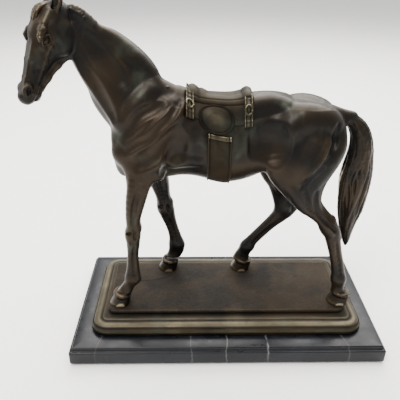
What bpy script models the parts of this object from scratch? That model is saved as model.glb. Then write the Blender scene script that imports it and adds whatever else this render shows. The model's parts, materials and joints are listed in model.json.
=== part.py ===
"""A bronze walking horse with a racing saddle, on a moulded bronze plinth and a marble slab.

Frame: the origin is the centre of the felt underside, +Z is up, the horse faces -X and its near
(left) side is -Y. All the sizes below are millimetres. The castings are lofts through sections
that are spaced along the body, the neck, the head, the tail and the legs. Neighbouring castings
meet at flat joints: a round spigot on one stands in a socket in the other, held by a cross pin.
"""

import math

import bmesh
import bpy
from mathutils import Vector

MM = 0.001
GAP = 0.3

# Marble slab, felt and plinth
FELT_THICKNESS = 1.5
FELT_INSET = 3.0
SLAB_LENGTH = 340.0
SLAB_WIDTH = 174.0
SLAB_HEIGHT = 20.0
SLAB_STEP_INSET = 3.0
PLINTH_LENGTH = 302.0
PLINTH_WIDTH = 134.0
PLINTH_HEIGHT = 12.5
PLINTH_CORNER = 12.0
PLINTH_WALL = 5.5
PLINTH_ROOF = 4.0
GROUND_LENGTH = 266.0
GROUND_WIDTH = 91.0
GROUND_HEIGHT = 4.3
GROUND_CORNER = 9.0
BOSS_X = 120.0
BOSS_RADIUS = 8.0

# Heights of the stack, each piece standing clear of the one under it
SLAB_BOTTOM = FELT_THICKNESS + GAP
SLAB_TOP = SLAB_BOTTOM + SLAB_HEIGHT
PLINTH_BOTTOM = SLAB_TOP + GAP
PLINTH_TOP = PLINTH_BOTTOM + PLINTH_HEIGHT
POCKET_TOP = PLINTH_TOP - PLINTH_ROOF
GROUND_BOTTOM = PLINTH_TOP + GAP
GROUND_TOP = GROUND_BOTTOM + GROUND_HEIGHT
HOOF_BOTTOM = GROUND_TOP + GAP

# Fasteners
STUD_RADIUS = 2.0
STUD_IN_HOOF = 8.0
NUT_RADIUS = 4.0
NUT_HEIGHT = 3.2
WASHER_RADIUS = 5.0
WASHER_HEIGHT = 0.8
BOLT_RADIUS = 3.0
BOLT_HEAD_RADIUS = 5.8
BOLT_HEAD_HEIGHT = 4.0
BOLT_WASHER_RADIUS = 7.0
COUNTERBORE_RADIUS = 8.0
COUNTERBORE_DEPTH = 7.0

# Horse
HORSE_Y = 3.5
WALL = 3.5
NECK_WALL = 4.5
LEG_SPIGOT_RADIUS = 4.5
LEG_SPIGOT_LENGTH = 10.0
NECK_SPIGOT_RADIUS = 9.0
NECK_SPIGOT_LENGTH = 12.0
HEAD_SPIGOT_RADIUS = 6.0
HEAD_SPIGOT_START = (-143.0, 5.0, 320.5)
HEAD_SPIGOT_END = (-162.0, 0.5, 330.5)
TAIL_SPIGOT_RADIUS = 3.0
TAIL_SPIGOT_LENGTH = 9.0
PIN_RADIUS = 1.0
PIN_HALF_LENGTH = 8.0
NECK_PIN_HALF_LENGTH = 14.0
HEAD_PIN_HALF_LENGTH = 8.5
TAIL_PIN_HALF_LENGTH = 4.6
VENT_RADIUS = 2.5

# Barrel sections: x, top z, bottom z, half width
BARREL = [
    (-120.0, 222.0, 205.0, 7.0),
    (-114.0, 236.0, 192.0, 16.0),
    (-104.0, 244.0, 184.0, 22.0),
    (-88.0, 255.5, 182.5, 26.0),
    (-70.0, 268.0, 184.0, 28.0),
    (-54.0, 277.0, 185.5, 29.0),
    (-38.0, 272.0, 185.5, 30.0),
    (-20.0, 267.0, 182.5, 31.5),
    (-4.0, 264.0, 179.5, 32.0),
    (12.0, 264.0, 181.5, 31.5),
    (26.0, 266.0, 187.0, 30.0),
    (42.0, 267.5, 197.0, 28.5),
    (60.0, 269.0, 206.0, 28.0),
    (76.0, 267.0, 212.0, 26.5),
    (92.0, 261.0, 216.0, 22.5),
    (106.0, 254.5, 224.0, 15.0),
    (114.0, 247.0, 234.0, 7.0),
]
CAVITY_FRONT = -58.0
CAVITY_REAR = 84.0

# Leg sections: z, front x, rear x, distance from the middle of the horse, half width
NEAR_FORE = [
    (240.0, -98.0, -64.0, 13.0, 7.0),
    (225.0, -108.0, -62.0, 18.0, 9.5),
    (210.0, -110.0, -64.0, 21.0, 11.0),
    (196.0, -106.0, -70.0, 23.0, 11.0),
    (184.0, -105.0, -79.0, 24.5, 10.5),
    (171.0, -106.0, -85.0, 25.5, 9.5),
    (158.0, -106.5, -89.5, 26.5, 8.5),
    (147.0, -107.0, -92.0, 27.0, 7.5),
    (136.0, -107.5, -93.0, 27.5, 7.0),
    (126.0, -108.5, -93.5, 28.0, 7.5),
    (116.0, -108.5, -95.0, 28.5, 7.0),
    (106.0, -108.0, -97.0, 29.0, 5.4),
    (88.0, -110.0, -97.5, 30.0, 5.0),
    (76.0, -111.5, -96.5, 30.5, 6.2),
    (68.0, -113.0, -96.5, 31.0, 6.6),
    (60.0, -118.0, -103.0, 31.5, 6.0),
    (53.0, -123.0, -106.0, 32.0, 8.0),
    (46.0, -127.5, -108.0, 32.0, 9.5),
    (HOOF_BOTTOM, -132.5, -110.0, 32.0, 11.0),
]
FAR_FORE = [
    (240.0, -98.0, -64.0, 13.0, 7.0),
    (225.0, -107.0, -62.0, 18.0, 9.5),
    (210.0, -108.0, -62.0, 21.0, 11.0),
    (196.0, -102.0, -64.0, 23.0, 11.0),
    (184.0, -95.0, -66.0, 24.5, 10.5),
    (171.0, -89.0, -65.0, 25.5, 9.5),
    (158.0, -84.0, -64.0, 26.5, 8.5),
    (147.0, -80.0, -63.5, 27.5, 7.5),
    (136.0, -79.0, -61.0, 28.0, 7.0),
    (126.0, -78.0, -58.5, 29.0, 7.5),
    (117.0, -75.5, -58.0, 29.5, 7.0),
    (106.0, -70.5, -56.5, 30.0, 5.6),
    (92.0, -66.5, -53.0, 31.0, 5.2),
    (81.0, -66.0, -49.5, 32.0, 6.0),
    (72.0, -66.5, -48.0, 32.5, 6.6),
    (64.0, -67.0, -48.5, 33.0, 6.4),
    (57.0, -69.0, -52.0, 33.0, 6.5),
    (51.0, -74.0, -53.5, 33.0, 8.0),
    (45.5, -78.0, -55.0, 33.0, 9.5),
    (HOOF_BOTTOM, -81.0, -58.0, 33.0, 11.0),
]
NEAR_HIND = [
    (255.0, 58.0, 98.0, 12.0, 8.0),
    (240.0, 48.0, 110.0, 19.0, 11.0),
    (225.0, 42.0, 113.0, 22.0, 13.0),
    (210.0, 38.0, 109.0, 23.5, 14.0),
    (198.0, 37.0, 104.0, 24.0, 14.0),
    (188.0, 42.0, 99.0, 24.5, 13.0),
    (178.0, 51.0, 96.0, 25.0, 12.0),
    (168.0, 60.0, 95.5, 25.5, 10.5),
    (158.0, 70.0, 98.0, 26.0, 9.0),
    (150.0, 81.0, 104.0, 26.5, 8.0),
    (142.0, 91.5, 112.0, 27.0, 7.5),
    (134.0, 98.0, 118.5, 27.5, 7.5),
    (124.0, 104.0, 120.0, 28.0, 7.5),
    (114.0, 108.0, 122.0, 28.5, 7.0),
    (104.0, 111.5, 125.0, 29.0, 6.0),
    (90.0, 115.0, 129.5, 30.0, 5.4),
    (76.0, 118.0, 132.0, 31.0, 6.0),
    (66.0, 119.5, 133.5, 31.5, 6.8),
    (58.0, 120.5, 133.0, 32.0, 6.2),
    (51.0, 119.5, 134.0, 32.0, 8.0),
    (45.0, 117.5, 136.0, 32.0, 9.5),
    (HOOF_BOTTOM, 116.0, 138.0, 32.0, 11.0),
]
FAR_HIND = [
    (255.0, 58.0, 98.0, 12.0, 8.0),
    (240.0, 48.0, 110.0, 19.0, 11.0),
    (225.0, 40.0, 112.0, 22.0, 13.0),
    (210.0, 34.0, 106.0, 23.5, 14.0),
    (198.0, 31.0, 98.0, 24.0, 14.0),
    (188.0, 32.0, 92.0, 24.5, 13.0),
    (178.0, 36.0, 88.0, 25.0, 12.0),
    (168.0, 41.0, 86.0, 25.5, 10.5),
    (158.0, 48.0, 85.0, 26.0, 9.0),
    (148.0, 52.5, 85.0, 27.0, 8.0),
    (138.0, 56.0, 88.0, 28.0, 7.5),
    (130.0, 58.0, 89.0, 28.5, 7.5),
    (122.0, 58.0, 83.5, 29.0, 7.5),
    (114.0, 53.0, 76.0, 29.5, 7.0),
    (102.0, 44.0, 62.5, 30.5, 6.0),
    (88.0, 33.0, 50.0, 31.5, 5.5),
    (77.0, 25.0, 41.5, 32.5, 6.2),
    (67.0, 20.0, 36.0, 33.0, 6.8),
    (59.0, 15.5, 32.5, 33.0, 6.4),
    (52.0, 12.5, 32.0, 33.0, 8.0),
    (46.0, 11.0, 32.0, 33.0, 9.5),
    (HOOF_BOTTOM, 10.0, 33.0, 33.0, 11.0),
]

# Each leg: sections, side of the horse, height of its joint with the trunk
LEGS = {
    "near_fore": (NEAR_FORE, -1.0, 171.0),
    "far_fore": (FAR_FORE, 1.0, 171.0),
    "near_hind": (NEAR_HIND, -1.0, 168.0),
    "far_hind": (FAR_HIND, 1.0, 168.0),
}

# Neck sections: position along the neck, crest x and z, throat x and z, centre y, half width
NECK = [
    (-2.0, -36.0, 262.0, -98.0, 205.0, HORSE_Y, 22.0),
    (-1.0, -45.0, 273.0, -108.0, 222.0, HORSE_Y, 23.0),
    (0.0, -56.0, 281.0, -117.0, 238.0, HORSE_Y, 22.0),
    (1.0, -69.0, 290.0, -124.0, 249.5, 3.5, 19.5),
    (2.0, -84.0, 302.5, -130.0, 260.0, 3.0, 17.0),
    (3.0, -99.0, 314.0, -135.0, 275.0, 3.0, 14.5),
    (4.0, -114.0, 326.5, -140.0, 289.0, 3.5, 13.0),
    (5.0, -128.0, 338.5, -147.0, 300.0, 4.0, 11.5),
    (6.0, -141.0, 346.0, -155.5, 308.5, 4.5, 10.5),
    (7.0, -152.0, 347.0, -163.0, 322.0, 4.5, 9.0),
]
NECK_CAVITY = (0.35, 3.8)

# Tail sections: position along the tail, outer x and z, inner x and z, half width
TAIL = [
    (-2.0, 100.0, 257.0, 102.0, 237.0, 7.0),
    (-1.0, 110.0, 256.0, 111.0, 238.0, 7.0),
    (0.0, 119.0, 253.5, 119.0, 239.0, 6.5),
    (1.0, 128.0, 249.0, 121.5, 236.0, 7.0),
    (2.0, 137.0, 241.0, 125.0, 228.0, 8.0),
    (3.0, 144.0, 230.0, 126.0, 216.0, 9.0),
    (4.0, 149.0, 214.0, 124.5, 203.0, 10.0),
    (5.0, 152.5, 195.0, 122.0, 191.0, 10.5),
    (6.0, 153.0, 178.0, 121.0, 177.0, 10.5),
    (7.0, 152.0, 160.0, 122.0, 160.0, 10.0),
    (8.0, 150.0, 140.0, 124.0, 142.0, 9.0),
    (9.0, 145.5, 126.0, 127.0, 127.0, 7.5),
    (10.0, 143.0, 112.0, 131.0, 112.0, 5.5),
    (11.0, 142.0, 100.0, 134.5, 101.0, 3.5),
    (12.0, 140.0, 93.0, 137.5, 93.5, 1.5),
]

# Head: the poll, the turn towards the near side, the slope of the face below level
POLL = Vector((-163.5, 0.5, 345.5))
HEAD_TURN = math.radians(38.0)
HEAD_SLOPE = math.radians(63.0)
# Head sections: distance from the poll, face side depth, jaw side depth, half width
HEAD = [
    (-7.0, 3.5, 8.0, 5.5),
    (-3.0, 8.5, 15.0, 9.5),
    (4.0, 12.5, 21.0, 12.0),
    (12.0, 14.5, 24.5, 13.5),
    (20.0, 14.5, 26.5, 14.0),
    (28.0, 13.5, 26.0, 13.5),
    (36.0, 11.8, 21.5, 11.5),
    (44.0, 10.3, 17.5, 9.6),
    (54.0, 8.4, 14.5, 8.2),
    (64.0, 7.0, 12.8, 7.8),
    (72.0, 7.0, 12.0, 8.2),
    (80.0, 6.4, 10.4, 8.0),
    (84.5, 3.6, 8.0, 5.5),
]
# Ear sections: distance up the ear, half width, half thickness
EAR = [(-5.0, 4.0, 3.5), (3.0, 5.0, 4.0), (11.0, 4.4, 3.0), (18.0, 2.6, 1.8), (23.0, 0.6, 0.5)]
EAR_SPREAD = 9.0
EAR_SET_BACK = 3.0
EAR_LEAN = (0.30, 0.90, 0.25)

# Saddle: angles are measured round the barrel from its top
PAD_LAYER = (0.5, 2.1)
FLAP_LAYER = (2.6, 4.4)
GIRTH_LAYER = (0.5, 1.9)
BUCKLE_LAYER = (2.4, 3.8)
STRAP_LAYER = (2.6, 3.8)
PAD_SPAN = (-44.0, 21.0, 54.0)
FLAP_CENTRE = (-15.0, 46.0)
FLAP_HALF = (17.5, 20.0)
GIRTH_SPAN = (-23.5, 0.5)
GIRTH_TOP_ANGLE = 68.0
BUCKLE_ANGLES = (69.0, 76.0)
SEAT_ANGLE = 24.0
SEAT_BASE = 2.6
SEAT_EDGE = 1.2
# Seat: x, height of its top over the pad
SEAT = [
    (-42.0, 4.0),
    (-37.0, 6.0),
    (-30.0, 5.6),
    (-22.0, 4.8),
    (-6.0, 4.5),
    (8.0, 5.0),
    (15.0, 6.4),
    (20.0, 4.4),
]
STRAPS = {"front": (-43.0, -37.0, 27.0, 55.0), "rear": (12.5, 18.5, 27.0, 57.0)}
DEE_ANGLE = 34.0
DEE_RADIUS = 3.0
DEE_WIRE = 0.9
BARREL_RADIUS = 36.0

# Colour, roughness and metallic value of each finish
FINISHES = {
    "bronze": ((0.16, 0.11, 0.07, 1.0), 0.42, 1.0),
    "gilt_bronze": ((0.30, 0.25, 0.13, 1.0), 0.40, 1.0),
    "bright_metal": ((0.55, 0.50, 0.38, 1.0), 0.30, 1.0),
    "steel": ((0.45, 0.45, 0.46, 1.0), 0.38, 1.0),
    "marble": ((0.02, 0.025, 0.035, 1.0), 0.25, 0.0),
    "felt": ((0.03, 0.09, 0.05, 1.0), 0.95, 0.0),
}


def clear_scene():
    for item in list(bpy.data.objects):
        bpy.data.objects.remove(item, do_unlink=True)


def finish(name, kind):
    colour, roughness, metallic = FINISHES[kind]
    material = bpy.data.materials.new(name + "_finish")
    material.use_nodes = True
    shader = material.node_tree.nodes["Principled BSDF"]
    shader.inputs["Base Color"].default_value = colour
    shader.inputs["Roughness"].default_value = roughness
    shader.inputs["Metallic"].default_value = metallic
    return material


def make_object(name, shape, kind=None):
    """Turn a bmesh in millimetres into an object. Without a finish it is a hidden guide."""
    bmesh.ops.recalc_face_normals(shape, faces=shape.faces)
    bmesh.ops.scale(shape, vec=Vector((MM, MM, MM)), verts=shape.verts)
    mesh = bpy.data.meshes.new(name)
    shape.to_mesh(mesh)
    shape.free()
    mesh.shade_smooth()
    mesh.set_sharp_from_angle(angle=math.radians(40.0))
    item = bpy.data.objects.new(name, mesh)
    bpy.context.scene.collection.objects.link(item)
    if kind is None:
        item.hide_render = True
        item.display_type = "WIRE"
    else:
        mesh.materials.append(finish(name, kind))
    return item


def combine(target, other, operation):
    modifier = target.modifiers.new(other.name, "BOOLEAN")
    modifier.operation = operation
    modifier.solver = "EXACT"
    modifier.object = other


def interpolate(sections, position):
    """Read the section at a position, on smooth curves through all the given sections."""
    knots = [section[0] for section in sections]
    ascending = knots[-1] > knots[0]
    ordered = sections if ascending else sections[::-1]
    knots = sorted(knots)
    position = min(max(position, knots[0]), knots[-1])
    index = max(i for i in range(len(knots) - 1) if knots[i] <= position)
    span = knots[index + 1] - knots[index]
    t = (position - knots[index]) / span
    values = []
    for column in range(1, len(ordered[0])):
        column_values = [section[column] for section in ordered]
        start = column_values[index]
        end = column_values[index + 1]
        slope_in = slope_at(knots, column_values, index) * span
        slope_out = slope_at(knots, column_values, index + 1) * span
        values.append(
            start * (2 * t**3 - 3 * t**2 + 1)
            + slope_in * (t**3 - 2 * t**2 + t)
            + end * (3 * t**2 - 2 * t**3)
            + slope_out * (t**3 - t**2)
        )
    return values


def slope_at(knots, values, index):
    before = max(index - 1, 0)
    after = min(index + 1, len(knots) - 1)
    return (values[after] - values[before]) / (knots[after] - knots[before])


def loft(rings):
    """Join a row of closed rings with faces, and cap both ends."""
    shape = bmesh.new()
    rows = [[shape.verts.new(point) for point in ring] for ring in rings]
    count = len(rows[0])
    for lower, upper in zip(rows, rows[1:]):
        for i in range(count):
            j = (i + 1) % count
            shape.faces.new((lower[i], lower[j], upper[j], upper[i]))
    shape.faces.new(rows[0][::-1])
    shape.faces.new(rows[-1])
    return shape


def oval(centre, up, down, side, count, pinch=0.0):
    """A ring round a centre: up and side are half axes, and pinch narrows the up end."""
    ring = []
    for i in range(count):
        angle = 2.0 * math.pi * i / count
        rise = math.cos(angle)
        spread = math.sin(angle) * (1.0 - pinch * rise)
        ring.append(centre + (up * rise if rise > 0.0 else down * -rise) + side * spread)
    return ring


def steps(start, end, count):
    return [start + (end - start) * i / (count - 1) for i in range(count)]


def cylinder(start, end, radius, count=20):
    axis = (end - start).normalized()
    helper = Vector((0.0, 0.0, 1.0)) if abs(axis.z) < 0.9 else Vector((1.0, 0.0, 0.0))
    across = axis.cross(helper).normalized() * radius
    other = axis.cross(across).normalized() * radius
    return loft([oval(point, across, -across, other, count) for point in (start, end)])


def tube(start, end, outer, inner, count):
    """A washer or a nut: a short tube whose outer outline has the given number of corners."""
    shape = bmesh.new()
    rows = []
    for height, radius in ((start, outer), (end, outer), (end, inner), (start, inner)):
        row = []
        for i in range(count):
            angle = 2.0 * math.pi * i / count
            spot = Vector((radius * math.cos(angle), radius * math.sin(angle), 0.0)) + height
            row.append(shape.verts.new(spot))
        rows.append(row)
    for k in range(4):
        lower, upper = rows[k], rows[(k + 1) % 4]
        for i in range(count):
            j = (i + 1) % count
            shape.faces.new((lower[i], lower[j], upper[j], upper[i]))
    return shape


# ---------------------------------------------------------------- slab, felt, plinth, ground


def rounded_rectangle(half_length, half_width, corner, height, per_corner):
    ring = []
    for sx, sy, first in ((1, 1, 0), (-1, 1, 90), (-1, -1, 180), (1, -1, 270)):
        for i in range(per_corner):
            angle = math.radians(first + 90.0 * i / (per_corner - 1))
            ring.append(Vector((
                sx * (half_length - corner) + corner * math.cos(angle),
                sy * (half_width - corner) + corner * math.sin(angle),
                height,
            )))
    return ring


def moulding(length, width, corner, bottom, profile, per_corner=5):
    """Stack rounded rectangles. The profile lists the height and inset of each."""
    rings = []
    for height, inset in profile:
        half_length = length / 2 - inset
        half_width = width / 2 - inset
        radius = max(corner - inset, 0.8)
        rings.append(rounded_rectangle(half_length, half_width, radius, bottom + height, per_corner))
    return loft(rings)


def build_felt():
    profile = [(0.0, 0.0), (FELT_THICKNESS, 0.0)]
    length = SLAB_LENGTH - 2 * FELT_INSET
    width = SLAB_WIDTH - 2 * FELT_INSET
    make_object("felt_sheet", moulding(length, width, 2.0, 0.0, profile, 3), "felt")


def build_slab():
    step = SLAB_STEP_INSET
    profile = [
        (0.0, 1.0),
        (1.0, 0.0),
        (14.6, 0.0),
        (15.6, 1.0),
        (15.6, step),
        (18.9, step),
        (SLAB_HEIGHT, step + 1.1),
    ]
    outside = moulding(SLAB_LENGTH, SLAB_WIDTH, 1.6, SLAB_BOTTOM, profile, 3)
    slab = make_object("marble_slab", outside, "marble")
    for side, x in (("left", -BOSS_X), ("right", BOSS_X)):
        low = Vector((x, 0.0, SLAB_BOTTOM - 1.0))
        shoulder = Vector((x, 0.0, SLAB_BOTTOM + COUNTERBORE_DEPTH))
        high = Vector((x, 0.0, SLAB_TOP + 1.0))
        bore = make_object(side + "_counterbore", cylinder(low, shoulder, COUNTERBORE_RADIUS, 20))
        hole = make_object(side + "_slab_hole", cylinder(low, high, BOLT_RADIUS + GAP, 16))
        combine(slab, bore, "DIFFERENCE")
        combine(slab, hole, "DIFFERENCE")


def build_plinth():
    profile = [
        (0.0, 1.0),
        (1.0, 0.2),
        (3.5, 0.0),
        (6.5, 0.6),
        (8.5, 2.0),
        (9.6, 4.0),
        (10.4, 7.5),
        (11.0, 9.5),
        (12.2, 15.0),
        (PLINTH_HEIGHT, 18.0),
    ]
    outside = moulding(PLINTH_LENGTH, PLINTH_WIDTH, PLINTH_CORNER + 8.0, PLINTH_BOTTOM, profile)
    plinth = make_object("plinth_casting", outside, "gilt_bronze")
    pocket_profile = [(-1.0, 0.0), (POCKET_TOP - PLINTH_BOTTOM, 0.0)]
    inner_length = PLINTH_LENGTH - 2 * PLINTH_WALL
    inner_width = PLINTH_WIDTH - 2 * PLINTH_WALL
    inside = moulding(inner_length, inner_width, PLINTH_CORNER, PLINTH_BOTTOM, pocket_profile)
    combine(plinth, make_object("plinth_pocket", inside), "DIFFERENCE")
    for side, x in (("left", -BOSS_X), ("right", BOSS_X)):
        foot = Vector((x, 0.0, PLINTH_BOTTOM))
        boss = cylinder(foot, Vector((x, 0.0, POCKET_TOP + 1.0)), BOSS_RADIUS, 16)
        combine(plinth, make_object(side + "_boss", boss), "UNION")
        thread_end = Vector((x, 0.0, POCKET_TOP))
        thread = cylinder(foot - Vector((0, 0, 1)), thread_end, BOLT_RADIUS + GAP, 16)
        combine(plinth, make_object(side + "_thread", thread), "DIFFERENCE")
    return plinth


def build_ground():
    profile = [(0.0, 0.8), (1.0, 0.0), (3.2, 0.0), (GROUND_HEIGHT, 1.2)]
    ground = moulding(GROUND_LENGTH, GROUND_WIDTH, GROUND_CORNER, GROUND_BOTTOM, profile)
    return make_object("ground_plate", ground, "bronze")


def build_plinth_bolts():
    for side, x in (("left", -BOSS_X), ("right", BOSS_X)):
        seat = SLAB_BOTTOM + COUNTERBORE_DEPTH - GAP
        washer_low = seat - WASHER_HEIGHT
        head_top = washer_low - GAP
        head_low = head_top - BOLT_HEAD_HEIGHT
        tip = Vector((x, 0.0, POCKET_TOP - 1.0))
        low = Vector((x, 0.0, washer_low))
        washer = tube(low, Vector((x, 0.0, seat)), BOLT_WASHER_RADIUS, BOLT_RADIUS + GAP, 16)
        make_object(side + "_bolt_washer", washer, "steel")
        head = cylinder(Vector((x, 0.0, head_low)), Vector((x, 0.0, head_top)), BOLT_HEAD_RADIUS, 6)
        bolt = make_object(side + "_plinth_bolt", head, "steel")
        shank = cylinder(Vector((x, 0.0, head_low + 1.0)), tip, BOLT_RADIUS, 16)
        combine(bolt, make_object(side + "_bolt_shank", shank), "UNION")


# ---------------------------------------------------------------- horse


def barrel_point(x, angle, offset):
    """A point at an angle round the barrel from its top, standing off its surface."""
    top, bottom, half_width = interpolate(BARREL, x)
    half_height = (top - bottom) / 2.0
    across = math.sin(angle)
    rise = math.cos(angle)
    normal = Vector((0.0, across / half_width, rise / half_height)).normalized()
    surface = Vector((x, HORSE_Y + half_width * across, (top + bottom) / 2.0 + half_height * rise))
    return surface + normal * offset


def barrel(front, rear, offset, rings, count):
    return loft([
        [barrel_point(x, 2.0 * math.pi * i / count, offset) for i in range(count)]
        for x in steps(front, rear, rings)
    ])


def leg_ring(sections, side, z, count=14):
    front, rear, lateral, half_width = interpolate(sections, z)
    centre = Vector(((front + rear) / 2.0, HORSE_Y + side * lateral, z))
    forward = Vector(((front - rear) / 2.0, 0.0, 0.0))
    return oval(centre, forward, -forward, Vector((0.0, half_width, 0.0)), count)


def leg_loft(sections, side, top, bottom):
    heights = [top] + [s[0] for s in sections if bottom < s[0] < top] + [bottom]
    return loft([leg_ring(sections, side, z) for z in heights])


def leg_axis(sections, side, z):
    front, rear, lateral, _ = interpolate(sections, z)
    return Vector(((front + rear) / 2.0, HORSE_Y + side * lateral, z))


def neck_ring(position, shift=0.0, shrink=0.0, count=18):
    crest_x, crest_z, throat_x, throat_z, centre_y, half_width = interpolate(NECK, position)
    crest = Vector((crest_x, centre_y, crest_z))
    throat = Vector((throat_x, centre_y, throat_z))
    up = (crest - throat) / 2.0
    axis = neck_axis(up)
    up = up - up.normalized() * shrink
    centre = (crest + throat) / 2.0 + axis * shift
    return oval(centre, up, -up, Vector((0.0, half_width - shrink, 0.0)), count, 0.22)


def neck_axis(up):
    return Vector((0.0, 1.0, 0.0)).cross(up).normalized() * -1.0


def tail_ring(position, shift=0.0, count=12):
    outer_x, outer_z, inner_x, inner_z, half_width = interpolate(TAIL, position)
    outer = Vector((outer_x + shift, HORSE_Y, outer_z))
    inner = Vector((inner_x + shift, HORSE_Y, inner_z))
    up = (outer - inner) / 2.0
    return oval((outer + inner) / 2.0, up, -up, Vector((0.0, half_width, 0.0)), count)


def head_frame():
    """The directions down the face, out of the face and across the head."""
    heading = Vector((-math.cos(HEAD_TURN), -math.sin(HEAD_TURN), 0.0))
    vertical = Vector((0.0, 0.0, 1.0))
    down = heading * math.cos(HEAD_SLOPE) - vertical * math.sin(HEAD_SLOPE)
    out = heading * math.sin(HEAD_SLOPE) + vertical * math.cos(HEAD_SLOPE)
    return down, out, down.cross(out)


def head_loft(grow):
    down, out, across = head_frame()
    rings = []
    for distance, face, jaw, half_width in HEAD:
        centre = POLL + down * distance
        up = out * (face + grow)
        down_side = -out * (jaw + grow)
        rings.append(oval(centre, up, down_side, across * (half_width + grow), 18, -0.12))
    rings[0] = [point - down * grow for point in rings[0]]
    rings[-1] = [point + down * grow for point in rings[-1]]
    return loft(rings)


def ear(side, grow):
    down, out, across = head_frame()
    root = POLL + across * side * EAR_SPREAD - down * EAR_SET_BACK
    sideways, upward, forward = EAR_LEAN
    axis = (across * side * sideways - down * upward + out * forward).normalized()
    thick = axis.cross(across).normalized()
    wide = axis.cross(thick).normalized()
    return loft([
        oval(
            root + axis * distance,
            wide * (half_width + grow),
            -wide * (half_width + grow),
            thick * (half_thickness + grow),
            12,
        )
        for distance, half_width, half_thickness in EAR
    ])


def cross_pin(name, centre, open_side, pieces):
    """A pin across a joint. Its hole runs out of the casting on one side only."""
    reach = Vector((0.0, PIN_HALF_LENGTH, 0.0))
    make_object(name, cylinder(centre - reach, centre + reach, PIN_RADIUS, 8), "steel")
    far_end = centre + Vector((0.0, open_side * 60.0, 0.0))
    near_end = centre - reach * open_side * 1.06
    hole = make_object(name + "_hole", cylinder(near_end, far_end, PIN_RADIUS + GAP, 8))
    for piece in pieces:
        combine(piece, hole, "DIFFERENCE")


def build_trunk():
    trunk = make_object("trunk_casting", barrel(BARREL[0][0], BARREL[-1][0], 0.0, 26, 28), "bronze")
    neck_stub = make_object("neck_stub", loft([neck_ring(p) for p in (-2.0, -1.5, -1.0, -0.5, 0.0)]))
    tail_stub = make_object("tail_stub", loft([tail_ring(p) for p in (-2.0, -1.0, 0.0)]))
    combine(trunk, neck_stub, "UNION")
    combine(trunk, tail_stub, "UNION")
    for name, (sections, side, joint) in LEGS.items():
        stub = make_object(name + "_stub", leg_loft(sections, side, sections[0][0], joint))
        combine(trunk, stub, "UNION")
    cavity = make_object("trunk_cavity", barrel(CAVITY_FRONT, CAVITY_REAR, -WALL, 10, 16))
    combine(trunk, cavity, "DIFFERENCE")
    belly = barrel_point(-4.0, math.pi, 0.0)
    vent = cylinder(belly - Vector((0, 0, 3)), belly + Vector((0, 0, 12)), VENT_RADIUS, 8)
    combine(trunk, make_object("trunk_vent", vent), "DIFFERENCE")
    return trunk


def build_legs(trunk, plinth, ground):
    for name, (sections, side, joint) in LEGS.items():
        shape = leg_loft(sections, side, joint - GAP, sections[-1][0])
        leg = make_object(name + "_leg", shape, "bronze")
        root = leg_axis(sections, side, joint)
        top = root + Vector((0.0, 0.0, LEG_SPIGOT_LENGTH))
        below = root - Vector((0.0, 0.0, 3.0))
        spigot = make_object(name + "_spigot", cylinder(below, top, LEG_SPIGOT_RADIUS, 16))
        socket_top = top + Vector((0.0, 0.0, GAP))
        socket = make_object(name + "_socket", cylinder(below, socket_top, LEG_SPIGOT_RADIUS + GAP, 16))
        combine(leg, spigot, "UNION")
        combine(trunk, socket, "DIFFERENCE")
        middle = root + Vector((0.0, 0.0, LEG_SPIGOT_LENGTH / 2.0))
        cross_pin(name + "_pin", middle, -side, (trunk, leg))
        build_hoof_fastening(name, leg, leg_axis(sections, side, HOOF_BOTTOM), plinth, ground)


def build_hoof_fastening(name, leg, foot, plinth, ground):
    top = foot + Vector((0.0, 0.0, STUD_IN_HOOF))
    washer_top = POCKET_TOP - GAP
    nut_top = washer_top - WASHER_HEIGHT - GAP
    low = Vector((foot.x, foot.y, nut_top - NUT_HEIGHT - 0.8))
    make_object(name + "_stud", cylinder(low, top, STUD_RADIUS, 12), "steel")
    over = top + Vector((0.0, 0.0, GAP))
    hole = make_object(name + "_stud_hole", cylinder(low, over, STUD_RADIUS + GAP, 12))
    for piece in (leg, ground, plinth):
        combine(piece, hole, "DIFFERENCE")
    at = Vector((foot.x, foot.y, 0.0))
    up = Vector((0.0, 0.0, 1.0))
    washer_low = at + up * (washer_top - WASHER_HEIGHT)
    washer = tube(washer_low, at + up * washer_top, WASHER_RADIUS, STUD_RADIUS + GAP, 12)
    make_object(name + "_washer", washer, "steel")
    nut = tube(at + up * (nut_top - NUT_HEIGHT), at + up * nut_top, NUT_RADIUS, STUD_RADIUS + GAP, 6)
    make_object(name + "_nut", nut, "steel")


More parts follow.
